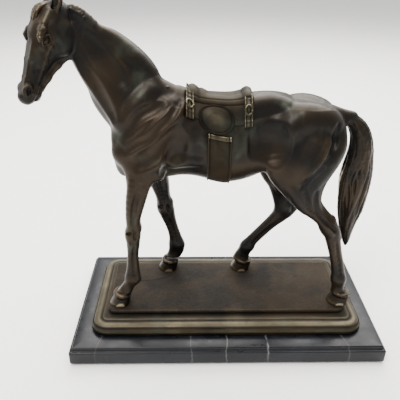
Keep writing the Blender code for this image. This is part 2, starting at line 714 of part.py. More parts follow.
def build_neck_and_head(trunk):
    neck = make_object("neck_casting", loft([neck_ring(p, GAP) for p in steps(0.0, 7.0, 11)]), "bronze")
    head = make_object("head_casting", head_loft(0.0), "bronze")
    clearance = make_object("head_clearance", head_loft(GAP))
    for name, side in (("near_ear", -1.0), ("far_ear", 1.0)):
        combine(head, make_object(name, ear(side, 0.0)), "UNION")
        combine(clearance, make_object(name + "_clearance", ear(side, GAP)), "UNION")
    combine(neck, clearance, "DIFFERENCE")
    first, last = NECK_CAVITY
    rings = [neck_ring(p, GAP, NECK_WALL) for p in steps(first, last, 8)]
    combine(neck, make_object("neck_cavity", loft(rings)), "DIFFERENCE")
    # Neck to trunk
    ring = neck_ring(0.0)
    root = sum(ring, Vector()) / len(ring)
    axis = neck_axis(ring[0] - root)
    vent_root = root + (ring[0] - root) * 0.55
    vent = cylinder(vent_root - axis * 2.0, vent_root + axis * 20.0, VENT_RADIUS, 8)
    combine(neck, make_object("neck_vent", vent), "DIFFERENCE")
    spigot_end = root - axis * NECK_SPIGOT_LENGTH
    start = root + axis * 2.0
    spigot = cylinder(start, spigot_end, NECK_SPIGOT_RADIUS, 16)
    combine(neck, make_object("neck_spigot", spigot), "UNION")
    socket = cylinder(start, spigot_end - axis * GAP, NECK_SPIGOT_RADIUS + GAP, 16)
    combine(trunk, make_object("neck_socket", socket), "DIFFERENCE")
    long_pin(root - axis * NECK_SPIGOT_LENGTH / 2.0, "neck_pin", NECK_PIN_HALF_LENGTH, (trunk, neck))
    # Head to neck
    start = Vector(HEAD_SPIGOT_START)
    end = Vector(HEAD_SPIGOT_END)
    way = (end - start).normalized()
    combine(neck, make_object("head_spigot", cylinder(start, end, HEAD_SPIGOT_RADIUS, 16)), "UNION")
    hole = make_object("head_socket", cylinder(start, end + way * GAP, HEAD_SPIGOT_RADIUS + GAP, 16))
    combine(head, hole, "DIFFERENCE")
    long_pin(end - way * 4.0, "head_pin", HEAD_PIN_HALF_LENGTH, (head, neck))


def long_pin(centre, name, half_length, pieces):
    reach = Vector((0.0, half_length, 0.0))
    make_object(name, cylinder(centre - reach, centre + reach, PIN_RADIUS, 8), "steel")
    hole_end = centre + Vector((0.0, 60.0, 0.0))
    hole = make_object(name + "_hole", cylinder(centre - reach * 1.03, hole_end, PIN_RADIUS + GAP, 8))
    for piece in pieces:
        combine(piece, hole, "DIFFERENCE")


def build_tail(trunk):
    rings = [tail_ring(p, GAP if p == 0.0 else 0.0) for p in steps(0.0, 12.0, 17)]
    tail = make_object("tail_casting", loft(rings), "bronze")
    ring = tail_ring(0.0)
    root = sum(ring, Vector()) / len(ring)
    reach = Vector((TAIL_SPIGOT_LENGTH, 0.0, 0.0))
    short = Vector((3.0, 0.0, 0.0))
    spigot = make_object("tail_spigot", cylinder(root + short, root - reach, TAIL_SPIGOT_RADIUS, 12))
    combine(tail, spigot, "UNION")
    socket_end = root - reach - Vector((GAP, 0.0, 0.0))
    socket = make_object("tail_socket", cylinder(root + short, socket_end, TAIL_SPIGOT_RADIUS + GAP, 12))
    combine(trunk, socket, "DIFFERENCE")
    long_pin(root - reach / 2.0, "tail_pin", TAIL_PIN_HALF_LENGTH, (trunk, tail))


# ---------------------------------------------------------------- saddle


def wrap(columns, rows, inner, outer):
    """A closed sheet on the barrel. columns are x, rows are angles; outer may vary over it."""
    shape = bmesh.new()
    grids = []
    for layer in (inner, outer):
        grids.append([[shape.verts.new(barrel_point(x, a, layer(x, a))) for a in rows] for x in columns])
    low, high = grids
    nx = len(columns)
    na = len(rows)
    for i in range(nx - 1):
        for j in range(na - 1):
            shape.faces.new((high[i][j], high[i + 1][j], high[i + 1][j + 1], high[i][j + 1]))
            shape.faces.new((low[i][j], low[i][j + 1], low[i + 1][j + 1], low[i + 1][j]))
    rim = [(i, 0) for i in range(nx)] + [(nx - 1, j) for j in range(1, na)]
    rim += [(i, na - 1) for i in range(nx - 2, -1, -1)] + [(0, j) for j in range(na - 2, 0, -1)]
    for (i, j), (k, m) in zip(rim, rim[1:] + rim[:1]):
        shape.faces.new((low[i][j], low[k][m], high[k][m], high[i][j]))
    return shape


def strip(name, x_range, angle_range, layer, kind, x_count, angle_count):
    columns = steps(x_range[0], x_range[1], x_count)
    rows = [math.radians(a) for a in steps(angle_range[0], angle_range[1], angle_count)]
    inner, outer = layer
    return make_object(name, wrap(columns, rows, lambda x, a: inner, lambda x, a: outer), kind)


def flap(name, side):
    """An oval flap: rings of points from the centre to the rim, on two layers."""
    centre_x, centre_angle = FLAP_CENTRE
    half_x, half_angle = FLAP_HALF
    count = 20
    shares = (1.0, 0.5)
    rings = []
    for layer, order in ((FLAP_LAYER[0], shares[::-1]), (FLAP_LAYER[1], shares)):
        for share in order:
            ring = []
            for i in range(count):
                turn = 2.0 * math.pi * i / count
                x = centre_x + half_x * share * math.cos(turn)
                angle = math.radians(centre_angle + half_angle * share * math.sin(turn))
                ring.append(barrel_point(x, side * angle, layer))
            rings.append(ring)
    make_object(name, loft(rings), "bronze")


def dee(name, x, side):
    """A small wire ring that lies on the strap and follows the curve of the barrel."""
    angle = side * math.radians(DEE_ANGLE)
    layer = STRAP_LAYER[1] + GAP + DEE_WIRE
    count = 12
    wire_count = 6
    shape = bmesh.new()
    rows = []
    for i in range(count):
        turn = 2.0 * math.pi * i / count
        row = []
        for k in range(wire_count):
            spin = 2.0 * math.pi * k / wire_count
            reach = DEE_RADIUS + DEE_WIRE * math.cos(spin)
            spot_x = x + reach * math.cos(turn)
            spot_angle = angle + reach * math.sin(turn) / BARREL_RADIUS
            offset = layer + DEE_WIRE * math.sin(spin)
            row.append(shape.verts.new(barrel_point(spot_x, spot_angle, offset)))
        rows.append(row)
    for lower, upper in zip(rows, rows[1:] + rows[:1]):
        for k in range(wire_count):
            m = (k + 1) % wire_count
            shape.faces.new((lower[k], lower[m], upper[m], upper[k]))
    make_object(name, shape, "bright_metal")


def build_seat():
    limit = math.radians(SEAT_ANGLE)

    def top(x, angle):
        height = interpolate(SEAT, x)[0]
        edge = SEAT_BASE + SEAT_EDGE
        return edge + (height - edge) * math.sqrt(max(1.0 - (angle / limit) ** 2, 0.0))

    columns = steps(SEAT[0][0], SEAT[-1][0], 13)
    rows = [math.radians(a) for a in steps(-SEAT_ANGLE, SEAT_ANGLE, 9)]
    make_object("saddle_seat", wrap(columns, rows, lambda x, a: SEAT_BASE, top), "gilt_bronze")


def build_saddle():
    front, rear, angle = PAD_SPAN
    strip("saddle_pad", (front, rear), (-angle, angle), PAD_LAYER, "bronze", 8, 11)
    build_seat()
    girth_angles = (GIRTH_TOP_ANGLE, 360.0 - GIRTH_TOP_ANGLE)
    strip("girth_strap", GIRTH_SPAN, girth_angles, GIRTH_LAYER, "bronze", 4, 29)
    for name, side in (("near", -1.0), ("far", 1.0)):
        flap(name + "_saddle_flap", side)
        buckle_x = (GIRTH_SPAN[0] - 1.0, GIRTH_SPAN[1] + 1.0)
        buckle_angles = (side * BUCKLE_ANGLES[0], side * BUCKLE_ANGLES[1])
        strip(name + "_girth_buckle", buckle_x, buckle_angles, BUCKLE_LAYER, "bright_metal", 4, 3)
        for place, (x0, x1, a0, a1) in STRAPS.items():
            label = name + "_" + place
            strip(label + "_strap", (x0, x1), (side * a0, side * a1), STRAP_LAYER, "bronze", 2, 6)
            dee(label + "_dee", (x0 + x1) / 2.0, side)


def main():
    clear_scene()
    build_felt()
    build_slab()
    plinth = build_plinth()
    ground = build_ground()
    build_plinth_bolts()
    trunk = build_trunk()
    build_legs(trunk, plinth, ground)
    build_neck_and_head(trunk)
    build_tail(trunk)
    build_saddle()


main()
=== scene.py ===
"""The looks of the bronze horse statue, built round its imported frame.

The castings are sculpted as distance fields on a grid: sections give the trunk, the neck and the
legs, muscles and tendons are blended on, and creases are pressed in. The field is turned into one
mesh, which is cut at the joints of the castings, so the surface runs on across every joint.
Lengths are millimetres until a mesh is made.
"""

import json
import math

import bmesh
import bpy
import numpy as np
from mathutils import Matrix, Vector


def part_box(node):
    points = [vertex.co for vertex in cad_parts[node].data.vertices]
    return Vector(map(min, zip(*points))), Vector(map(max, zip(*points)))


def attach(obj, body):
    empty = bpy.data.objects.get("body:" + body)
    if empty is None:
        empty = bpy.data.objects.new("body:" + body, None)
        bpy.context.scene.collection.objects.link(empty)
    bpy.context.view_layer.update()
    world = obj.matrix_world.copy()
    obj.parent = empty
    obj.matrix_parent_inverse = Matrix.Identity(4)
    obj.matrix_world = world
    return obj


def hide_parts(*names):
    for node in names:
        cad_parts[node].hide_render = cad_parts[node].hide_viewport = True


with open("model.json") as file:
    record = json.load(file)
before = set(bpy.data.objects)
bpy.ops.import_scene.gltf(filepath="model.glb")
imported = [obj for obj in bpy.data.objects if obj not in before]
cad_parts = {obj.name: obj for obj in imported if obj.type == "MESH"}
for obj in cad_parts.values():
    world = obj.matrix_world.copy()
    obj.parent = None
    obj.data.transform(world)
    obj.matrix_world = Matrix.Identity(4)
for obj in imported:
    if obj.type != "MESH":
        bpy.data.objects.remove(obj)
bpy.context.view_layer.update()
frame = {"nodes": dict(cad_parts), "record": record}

MM = 0.001
GRID = 0.8
HEAD_GRID = 0.5
# A grid's value where nothing has been drawn, and the room left round each shape
FAR_AWAY = 20.0
SPARE = 2.0
# Legs are drawn as ovals of this power, a little squarer than an ellipse
LEG_POWER = 2.3
SIDES = ((-1.0, "near"), (1.0, "far"))


def node_box(name):
    """A CAD node's box in millimetres."""
    low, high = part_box(name)
    return np.array(low) / MM, np.array(high) / MM


# ---------------------------------------------------------------- places read from the frame

GROUND_TOP = node_box("ground_plate")[1][2]
FORE_JOINT = node_box("near_fore_leg")[1][2] - 10.0
HIND_JOINT = node_box("near_hind_leg")[1][2] - 10.0
TAIL_JOINT = 119.0
MIDDLE = float(np.mean([node_box("trunk_casting")[0][1], node_box("trunk_casting")[1][1]]))

# ---------------------------------------------------------------- distance fields


def vec(*values):
    return np.array(values, dtype=np.float64)


def unit(v):
    v = np.asarray(v, dtype=np.float64)
    return v / np.linalg.norm(v)


class Field:
    """Distances to a surface on a grid, negative inside it."""

    def __init__(self, low, high, step):
        self.low = np.asarray(low, dtype=np.float64)
        self.step = step
        self.shape = tuple(int(n) for n in np.ceil((np.asarray(high) - self.low) / step) + 1)
        self.value = np.full(self.shape, FAR_AWAY, dtype=np.float32)

    def window(self, points, reach):
        """The part of the grid within reach of some points, and its x, y and z."""
        spots = np.array(points, dtype=np.float64)
        first = np.floor((spots.min(0) - reach - self.low) / self.step).astype(int)
        last = np.ceil((spots.max(0) + reach - self.low) / self.step).astype(int) + 1
        first = np.clip(first, 0, self.shape)
        last = np.clip(last, 0, self.shape)
        if (last <= first).any():
            return None, None
        lines = [self.low[i] + self.step * np.arange(first[i], last[i]) for i in range(3)]
        x, y, z = [line.astype(np.float32) for line in lines]
        area = tuple(slice(first[i], last[i]) for i in range(3))
        return area, [x[:, None, None], y[None, :, None], z[None, None, :]]

    def join(self, area, distance, blend):
        """Add a shape, with a fillet as wide as blend."""
        old = self.value[area]
        if blend <= 0.0:
            self.value[area] = np.minimum(old, distance)
            return
        overlap = np.maximum(blend - np.abs(old - distance), 0.0) / blend
        self.value[area] = np.minimum(old, distance) - overlap * overlap * blend * 0.25

    def cut(self, area, distance, blend):
        """Take a shape away, with a rounded rim."""
        old = self.value[area]
        overlap = np.maximum(blend - np.abs(old + distance), 0.0) / blend
        self.value[area] = np.maximum(old, -distance) + overlap * overlap * blend * 0.25

    def draw(self, area, distance, blend, carve):
        (self.cut if carve else self.join)(area, distance, blend)


def radial(length, scaled):
    """Distance to a surface that the scaled length reaches at 1, measured from its centre."""
    scaled = np.maximum(scaled, 1e-3)
    return length * (1.0 - 1.0 / scaled)


def oval(u, v, power):
    """1 on the rim of a superellipse, less within it."""
    return (np.abs(u) ** power + np.abs(v) ** power) ** (1.0 / power)


def ball(field, centre, radii, blend, axes=None, carve=False):
    """An ellipsoid, along the world's axes or the given ones."""
    area, place = field.window([centre], max(radii) + blend + SPARE)
    if area is None:
        return
    offset = [place[i] - centre[i] for i in range(3)]
    if axes is not None:
        offset = [sum(offset[i] * float(axis[i]) for i in range(3)) for axis in axes]
    length = np.sqrt(sum(o * o for o in offset))
    scaled = np.sqrt(sum((o / r) ** 2 for o, r in zip(offset, radii)))
    field.draw(area, radial(length, scaled), blend, carve)


def from_line(place, start, end):
    """How far along a line each point lies, from 0 to 1, and its offset from the line."""
    axis = end - start
    span = float(axis @ axis)
    offset = [place[i] - start[i] for i in range(3)]
    t = np.clip(sum(offset[i] * (axis[i] / span) for i in range(3)), 0.0, 1.0)
    return t, [offset[i] - t * axis[i] for i in range(3)]


def rod(field, start, end, r0, r1, blend, carve=False):
    """A tapered round-ended rod."""
    area, place = field.window([start, end], max(r0, r1) + blend + SPARE)
    if area is None:
        return
    t, offset = from_line(place, start, end)
    length = np.sqrt(sum(o * o for o in offset))
    scaled = length / (r0 + (r1 - r0) * t)
    field.draw(area, radial(length, scaled), blend, carve)


def rope(field, points, radii, blend, carve=False):
    """Rods through several points. radii has one value for each point."""
    for a, b, ra, rb in zip(points, points[1:], radii, radii[1:]):
        rod(field, a, b, ra, rb, blend, carve)


def smooth_path(points, count):
    """A rounded curve through points of any dimension, as count points."""
    points = np.asarray(points, dtype=np.float64)
    padded = np.vstack([2 * points[0] - points[1], points, 2 * points[-1] - points[-2]])
    result = []
    for s in np.linspace(0.0, len(points) - 1.0, count):
        i = min(int(s), len(points) - 2)
        t = s - i
        a, b, c, d = padded[i : i + 4]
        square, cube = 2 * a - 5 * b + 4 * c - d, 3 * b - a - 3 * c + d
        result.append(0.5 * (2 * b + (c - a) * t + square * t**2 + cube * t**3))
    return np.array(result)


def table_curve(table, where):
    """Reads a table of sections, first column the position, at an array of positions."""
    table = np.asarray(table, dtype=np.float64)
    if table[0, 0] > table[-1, 0]:
        table = table[::-1]
    knots = table[:, 0]
    values = table[:, 1:]
    slopes = np.gradient(values, knots, axis=0) if len(knots) > 2 else np.zeros_like(values)
    where = np.clip(where, knots[0], knots[-1])
    i = np.clip(np.searchsorted(knots, where, side="right") - 1, 0, len(knots) - 2)
    span = (knots[i + 1] - knots[i])[..., None]
    t = (where - knots[i])[..., None] / span
    return (
        values[i] * (2 * t**3 - 3 * t**2 + 1)
        + slopes[i] * span * (t**3 - 2 * t**2 + t)
        + values[i + 1] * (3 * t**2 - 2 * t**3)
        + slopes[i + 1] * span * (t**3 - t**2)
    )


# ---------------------------------------------------------------- sections of the horse

# Barrel: x, top z, bottom z, half width
BARREL = [
    (-120.0, 222.0, 205.0, 7.0),
    (-114.0, 236.0, 192.0, 16.0),
    (-104.0, 244.0, 184.0, 22.0),
    (-88.0, 255.5, 182.5, 26.0),
    (-70.0, 268.0, 184.0, 28.0),
    (-54.0, 277.0, 185.5, 29.0),
    (-38.0, 272.0, 185.5, 30.0),
    (-20.0, 267.0, 181.5, 31.5),
    (-4.0, 264.0, 178.5, 32.0),
    (12.0, 264.0, 180.5, 31.5),
    (26.0, 264.5, 185.5, 30.0),
    (42.0, 264.5, 195.0, 28.5),
    (60.0, 265.7, 206.0, 28.0),
    (76.0, 264.3, 212.0, 26.5),
    (92.0, 260.0, 216.0, 22.5),
    (106.0, 254.5, 224.0, 15.0),
    (114.0, 247.0, 234.0, 7.0),
]
# Legs: z, front x, rear x, distance from the middle, half width
NEAR_FORE = [
    (240.0, -98.0, -64.0, 13.0, 7.0),
    (225.0, -108.0, -62.0, 18.0, 9.5),
    (210.0, -110.0, -64.0, 21.0, 11.0),
    (196.0, -106.0, -70.0, 23.0, 11.0),
    (184.0, -105.0, -79.0, 24.5, 10.5),
    (171.0, -106.0, -85.0, 25.5, 9.5),
    (158.0, -106.5, -89.5, 26.5, 8.5),
    (147.0, -107.0, -92.0, 27.0, 7.5),
    (136.0, -107.5, -93.0, 27.5, 6.8),
    (126.0, -108.5, -94.0, 28.0, 7.0),
    (116.0, -108.3, -95.5, 28.5, 6.4),
    (106.0, -108.0, -97.5, 29.0, 4.9),
    (88.0, -109.5, -98.0, 30.0, 4.5),
    (76.0, -111.5, -97.0, 30.5, 5.6),
    (68.0, -113.0, -97.5, 31.0, 5.8),
    (60.0, -118.0, -104.0, 31.5, 5.4),
    (54.0, -122.5, -106.5, 32.0, 6.6),
]
FAR_FORE = [
    (240.0, -98.0, -64.0, 13.0, 7.0),
    (225.0, -107.0, -62.0, 18.0, 9.5),
    (210.0, -108.0, -62.0, 21.0, 11.0),
    (196.0, -102.0, -64.0, 23.0, 11.0),
    (184.0, -95.0, -66.0, 24.5, 10.5),
    (171.0, -89.0, -65.0, 25.5, 9.5),
    (158.0, -84.0, -64.0, 26.5, 8.5),
    (147.0, -80.0, -63.5, 27.5, 7.5),
    (136.0, -79.0, -61.5, 28.0, 6.8),
    (126.0, -78.0, -59.5, 29.0, 7.0),
    (117.0, -75.0, -59.0, 29.5, 6.4),
    (106.0, -70.5, -57.5, 30.0, 5.0),
    (92.0, -66.5, -53.8, 31.0, 4.6),
    (81.0, -65.5, -50.5, 32.0, 5.4),
    (72.0, -66.0, -48.5, 32.5, 5.8),
    (64.0, -67.0, -49.5, 33.0, 5.5),
    (57.0, -70.0, -53.0, 33.0, 6.0),
]
NEAR_HIND = [
    (255.0, 58.0, 98.0, 12.0, 8.0),
    (240.0, 48.0, 110.0, 19.0, 11.0),
    (225.0, 42.0, 113.0, 22.0, 13.0),
    (210.0, 38.0, 109.0, 23.5, 14.0),
    (198.0, 37.0, 104.0, 24.0, 14.0),
    (188.0, 42.0, 99.0, 24.5, 13.0),
    (178.0, 51.0, 96.0, 25.0, 12.0),
    (168.0, 60.0, 95.5, 25.5, 10.5),
    (158.0, 70.0, 98.0, 26.0, 9.0),
    (150.0, 81.0, 104.0, 26.5, 7.6),
    (142.0, 91.5, 111.5, 27.0, 6.8),
    (134.0, 98.0, 118.0, 27.5, 7.0),
    (124.0, 104.0, 120.5, 28.0, 7.2),
    (114.0, 108.0, 122.5, 28.5, 6.4),
    (104.0, 111.5, 124.5, 29.0, 5.2),
    (90.0, 115.5, 128.5, 30.0, 4.8),
    (76.0, 118.0, 131.5, 31.0, 5.4),
    (66.0, 119.5, 133.0, 31.5, 6.0),
    (58.0, 120.5, 133.0, 32.0, 5.6),
    (52.0, 120.0, 134.0, 32.0, 6.6),
]
FAR_HIND = [
    (255.0, 58.0, 98.0, 12.0, 8.0),
    (240.0, 48.0, 110.0, 19.0, 11.0),
    (225.0, 40.0, 112.0, 22.0, 13.0),
    (210.0, 34.0, 106.0, 23.5, 14.0),
    (198.0, 31.0, 98.0, 24.0, 14.0),
    (188.0, 32.0, 92.0, 24.5, 13.0),
    (178.0, 36.0, 88.0, 25.0, 12.0),
    (168.0, 41.0, 86.0, 25.5, 10.5),
    (158.0, 48.0, 85.0, 26.0, 9.0),
    (148.0, 52.5, 85.0, 27.0, 7.8),
    (138.0, 56.0, 86.5, 28.0, 7.2),
    (130.0, 58.0, 87.0, 28.5, 7.2),
    (122.0, 57.5, 82.0, 29.0, 7.2),
    (114.0, 53.0, 75.0, 29.5, 6.6),
    (102.0, 44.0, 62.0, 30.5, 5.4),
    (88.0, 33.0, 49.5, 31.5, 5.0),
    (77.0, 25.0, 41.0, 32.5, 5.6),
    (67.0, 20.0, 36.0, 33.0, 6.0),
    (59.0, 15.5, 32.5, 33.0, 5.7),
    (53.0, 12.8, 31.5, 33.0, 6.6),
]
# Neck: position, crest x and z, throat x and z, centre y from the middle, half width
NECK = [
    (-2.0, -36.0, 262.0, -98.0, 205.0, 0.0, 22.0),
    (-1.0, -45.0, 272.0, -108.0, 222.0, 0.0, 23.0),
    (0.0, -56.0, 278.0, -119.5, 238.0, 0.0, 21.5),
    (1.0, -69.0, 285.0, -127.5, 249.0, 0.0, 18.5),
    (2.0, -84.0, 296.0, -133.5, 260.0, 0.0, 16.0),
    (3.0, -99.0, 309.0, -137.0, 274.5, -0.5, 14.0),
    (4.0, -114.0, 323.8, -140.0, 289.0, 0.3, 11.8),
    (5.0, -127.0, 339.2, -143.5, 300.5, 1.0, 9.8),
    (6.0, -140.0, 349.5, -150.5, 308.5, 2.0, 8.2),
    (7.0, -152.0, 352.0, -163.0, 322.0, 2.5, 6.5),
]
# Seat of the saddle: x, height over the cloth
SEAT = [
    (-43.0, 3.6),
    (-37.0, 5.6),
    (-30.0, 5.2),
    (-22.0, 4.6),
    (-6.0, 4.4),
    (8.0, 4.8),
    (14.0, 6.2),
    (20.5, 4.2),
]
# Half the width of the seat, in degrees from the spine
SEAT_ANGLE = 27.0
# Veins of the marble: x where they cross the front, lean, width and strength, in metres
VEINS = [
    (-0.048, 0.10, 0.0011, 0.55),
    (0.003, -0.06, 0.0010, 0.60),
    (0.040, 0.04, 0.0014, 0.85),
    (0.105, 0.30, 0.0009, 0.35),
    (-0.120, -0.25, 0.0009, 0.25),
]
# Cloud of the marble, from its dark parts to its grey ones
MARBLE_CLOUD = [
    (0.30, (0.0025, 0.003, 0.0045)),
    (0.52, (0.0045, 0.0055, 0.008)),
    (0.74, (0.010, 0.012, 0.016)),
]
# Tail: position, outer x and z, inner x and z, half width
TAIL = [
    (-2.0, 100.0, 257.0, 102.0, 237.0, 7.0),
    (-1.0, 110.0, 256.0, 111.0, 238.0, 7.0),
    (0.0, 119.0, 253.5, 119.0, 239.0, 6.5),
    (1.0, 128.0, 249.0, 121.5, 236.0, 7.0),
    (2.0, 137.0, 241.0, 125.0, 228.0, 8.0),
    (3.0, 144.0, 230.0, 126.0, 216.0, 9.0),
    (4.0, 149.0, 214.0, 124.5, 203.0, 10.0),
    (5.0, 152.0, 195.0, 122.5, 191.0, 10.0),
    (6.0, 152.5, 178.0, 121.5, 177.0, 10.0),
    (7.0, 151.5, 160.0, 122.5, 160.0, 9.5),
    (8.0, 149.5, 140.0, 124.5, 142.0, 8.5),
    (9.0, 145.0, 126.0, 127.5, 127.0, 7.0),
    (10.0, 142.5, 112.0, 131.5, 112.0, 5.0),
    (11.0, 141.5, 101.0, 135.0, 102.0, 3.0),
    (12.0, 139.5, 94.0, 138.0, 94.5, 1.2),
]
# Hooves: leg, middle of the toe, middle of the heel (x), distance from the middle, half width
HOOVES = {
    "near_fore": (-132.5, -110.0, -32.0, 11.0),
    "far_fore": (-81.0, -58.0, 33.0, 11.0),
    "near_hind": (115.5, 138.0, -32.0, 11.0),
    "far_hind": (9.5, 32.5, 33.0, 11.0),
}
# Head: the poll, the turn towards the near side, the slope of the face below level
POLL = vec(-163.5, MIDDLE - 4.0, 346.0)
HEAD_TURN = math.radians(38.0)
HEAD_SLOPE = math.radians(63.0)
HEADING = vec(-math.cos(HEAD_TURN), -math.sin(HEAD_TURN), 0.0)
UP = vec(0.0, 0.0, 1.0)
DOWN_FACE = HEADING * math.cos(HEAD_SLOPE) - UP * math.sin(HEAD_SLOPE)
OUT_OF_FACE = HEADING * math.sin(HEAD_SLOPE) + UP * math.cos(HEAD_SLOPE)
ACROSS_FACE = np.cross(DOWN_FACE, OUT_OF_FACE)
HEAD_AXES = [DOWN_FACE, OUT_OF_FACE, ACROSS_FACE]
# Head sections: distance from the poll, face side depth, jaw side depth, half width
HEAD = [
    (-7.0, 3.0, 8.0, 5.5),
    (-3.0, 8.0, 15.0, 9.5),
    (4.0, 11.5, 24.0, 12.0),
    (12.0, 13.0, 27.5, 13.3),
    (20.0, 12.5, 28.5, 13.4),
    (28.0, 11.0, 26.5, 12.2),
    (36.0, 10.0, 21.0, 10.2),
    (44.0, 9.2, 16.5, 8.6),
    (54.0, 7.6, 13.8, 7.4),
    (64.0, 6.0, 12.0, 7.0),
    (72.0, 6.0, 11.0, 7.3),
    (79.0, 5.5, 9.5, 7.0),
]


# ---------------------------------------------------------------- building the field of the horse


def columns(table, where):
    """The columns of a table of sections at an array of positions."""
    return np.moveaxis(table_curve(table, np.asarray(where, dtype=np.float64)), -1, 0).astype(np.float32)


def add_barrel(field):
    area, place = field.window([vec(-122, MIDDLE, 181), vec(116, MIDDLE, 284)], 40.0)
    if area is None:
        return
    x, y, z = place
    top, bottom, half_width = columns(BARREL, x)
    middle = (top + bottom) / 2.0
    half_height = (top - bottom) / 2.0
    across = y - MIDDLE
    rise = z - middle
    # The belly is rounder than the back, which narrows towards the spine.
    spread = half_width * (1.0 - 0.10 * np.clip(rise / half_height, 0.0, 1.0) ** 2)
    length = np.sqrt(across**2 + rise**2)
    distance = radial(length, np.sqrt((across / spread) ** 2 + (rise / half_height) ** 2))
    distance = np.maximum(distance, np.maximum(BARREL[0][0] - x, x - BARREL[-1][0]))
    field.join(area, distance, 0.0)


def add_leg(field, table, side, blend):
    table = np.array(table)
    high, low = table[0, 0], table[-1, 0]
    outer = vec(table[:, 1].min(), MIDDLE + side * 45.0, low)
    inner = vec(table[:, 2].max(), MIDDLE + side * 5.0, high)
    area, place = field.window([outer, inner], 8.0)
    if area is None:
        return
    x, y, z = place
    front, rear, lateral, half_width = columns(table, z)
    # The lower leg is a little stouter than its table
    stout = 0.7 * np.clip((150.0 - z) / 40.0, 0.0, 1.0)
    front, rear, half_width = front - stout, rear + stout, half_width + 0.4 * stout
    along = x - (front + rear) / 2.0
    across = y - (MIDDLE + side * lateral)
    length = np.sqrt(along**2 + across**2)
    scaled = oval(along / ((rear - front) / 2.0), across / half_width, LEG_POWER)
    slope = np.gradient(table[:, 1:3].mean(1), table[:, 0])
    lean = np.abs(np.interp(np.asarray(z, dtype=np.float64), table[::-1, 0], slope[::-1])).astype(np.float32)
    distance = radial(length, scaled) / np.sqrt(1.0 + lean**2)
    distance = np.maximum(distance, np.maximum(low - z, z - high))
    field.join(area, distance, blend)


def sweep(field, sections, blend, pinch=0.0):
    """An oval swept along sections of (centre, up, side, half height, half width)."""
    for i, (first, last) in enumerate(zip(sections, sections[1:])):
        (a, up_a, side_a, high_a, wide_a), (b, up_b, side_b, high_b, wide_b) = first, last
        area, place = field.window([a, b], max(high_a, high_b, wide_a, wide_b) + blend + 3.0)
        if area is None:
            continue
        t, offset = from_line(place, a, b)
        length = np.sqrt(sum(o * o for o in offset))
        up, side = unit(up_a + up_b), unit(side_a + side_b)
        along = unit(np.cross(up, side))
        parts = [sum(offset[k] * way[k] for k in range(3)) for way in (up, side, along)]
        wide = wide_a + (wide_b - wide_a) * t
        rise = parts[0] / (high_a + (high_b - high_a) * t)
        spread = parts[1] / (wide * (1.0 - pinch * np.clip(rise, -1.0, 1.0)))
        distance = radial(length, np.sqrt(rise**2 + spread**2 + (parts[2] / wide) ** 2))
        field.join(area, distance, blend if i == 0 else 1.5)


def section_between(upper, lower, half_width, high=1.0, wide=1.0):
    """A section whose top and bottom are given. high and wide scale its two radii."""
    half_height = float(np.linalg.norm(upper - lower)) / 2.0 * high
    return (upper + lower) / 2.0, unit(upper - lower), vec(0, 1, 0), half_height, float(half_width) * wide


def neck_section(position):
    crest_x, crest_z, throat_x, throat_z, y, half_width = table_curve(NECK, np.array([position]))[0]
    crest = vec(crest_x, MIDDLE + y, crest_z)
    throat = vec(throat_x, MIDDLE + y, throat_z)
    return crest, throat, half_width


def add_neck(field, blend):
    sweep(field, [section_between(*neck_section(s)) for s in np.linspace(-2.0, 7.0, 37)], blend, 0.2)


def tail_section(position):
    outer_x, outer_z, inner_x, inner_z, half_width = table_curve(TAIL, np.array([position]))[0]
    return vec(outer_x, MIDDLE, outer_z), vec(inner_x, MIDDLE, inner_z), half_width


def add_tail(field, blend):
    # A little thinner than its table, to leave room for the hair
    places = np.linspace(-1.5, 12.0, 55)
    sweep(field, [section_between(*tail_section(s), high=0.94, wide=0.92) for s in places], blend)


def add_hoof(field, toe, heel, lateral, half_width):
    """A hoof: a leaning block, round at the toe, with a flat sole and a raised coronet."""
    sole = GROUND_TOP - 0.3
    height = 15.0
    centre = (toe + heel) / 2.0
    y0 = MIDDLE + lateral
    area, place = field.window([vec(toe - 4, y0 - 12, sole - 2), vec(heel + 6, y0 + 12, sole + height)], 3.0)
    if area is None:
        return
    x, y, z = place
    level = np.clip((z - sole) / height, -0.2, 1.2)
    shift = 6.0 * level
    half_long = (heel - toe) / 2.0 - 2.6 * level
    half_wide = half_width - 2.4 * level
    along = (centre + shift) - x
    across = y - y0
    length = np.sqrt(along**2 + across**2)
    # Round at the toe, squarer at the heel.
    power = np.where(along > 0, 2.0, 3.2)
    distance = radial(length, oval(along / half_long, across / half_wide, power)) * 0.94
    distance = np.maximum(distance, np.maximum(sole - z, z - (sole + height - 2.0)))
    field.join(area, distance, 1.2)
    turns = np.linspace(-2.0, 2.0, 12)
    long, wide = (heel - toe) / 2.0 * 0.80, half_width - 2.2
    ring = [vec(centre + 5.2 - long * math.cos(a), y0 + wide * math.sin(a), sole + 13.0) for a in turns]
    rope(field, ring, [1.7] * len(ring), 2.0)


# ---------------------------------------------------------------- head


def on_head(down, out, across):
    """A point of the head: distance down the face from the poll, out of the face, and across."""
    return POLL + DOWN_FACE * down + OUT_OF_FACE * out + ACROSS_FACE * across


def add_head(field, blend):
    distances = np.linspace(HEAD[0][0], HEAD[-1][0], 40)
    sections = []
    for down, (face, jaw, half_width) in zip(distances, table_curve(HEAD, distances)):
        centre = on_head(down, (face - jaw) / 2.0, 0.0)
        sections.append((centre, OUT_OF_FACE, ACROSS_FACE, (face + jaw) / 2.0, float(half_width)))
    sweep(field, sections, blend, -0.10)


# ---------------------------------------------------------------- muscles, tendons and creases


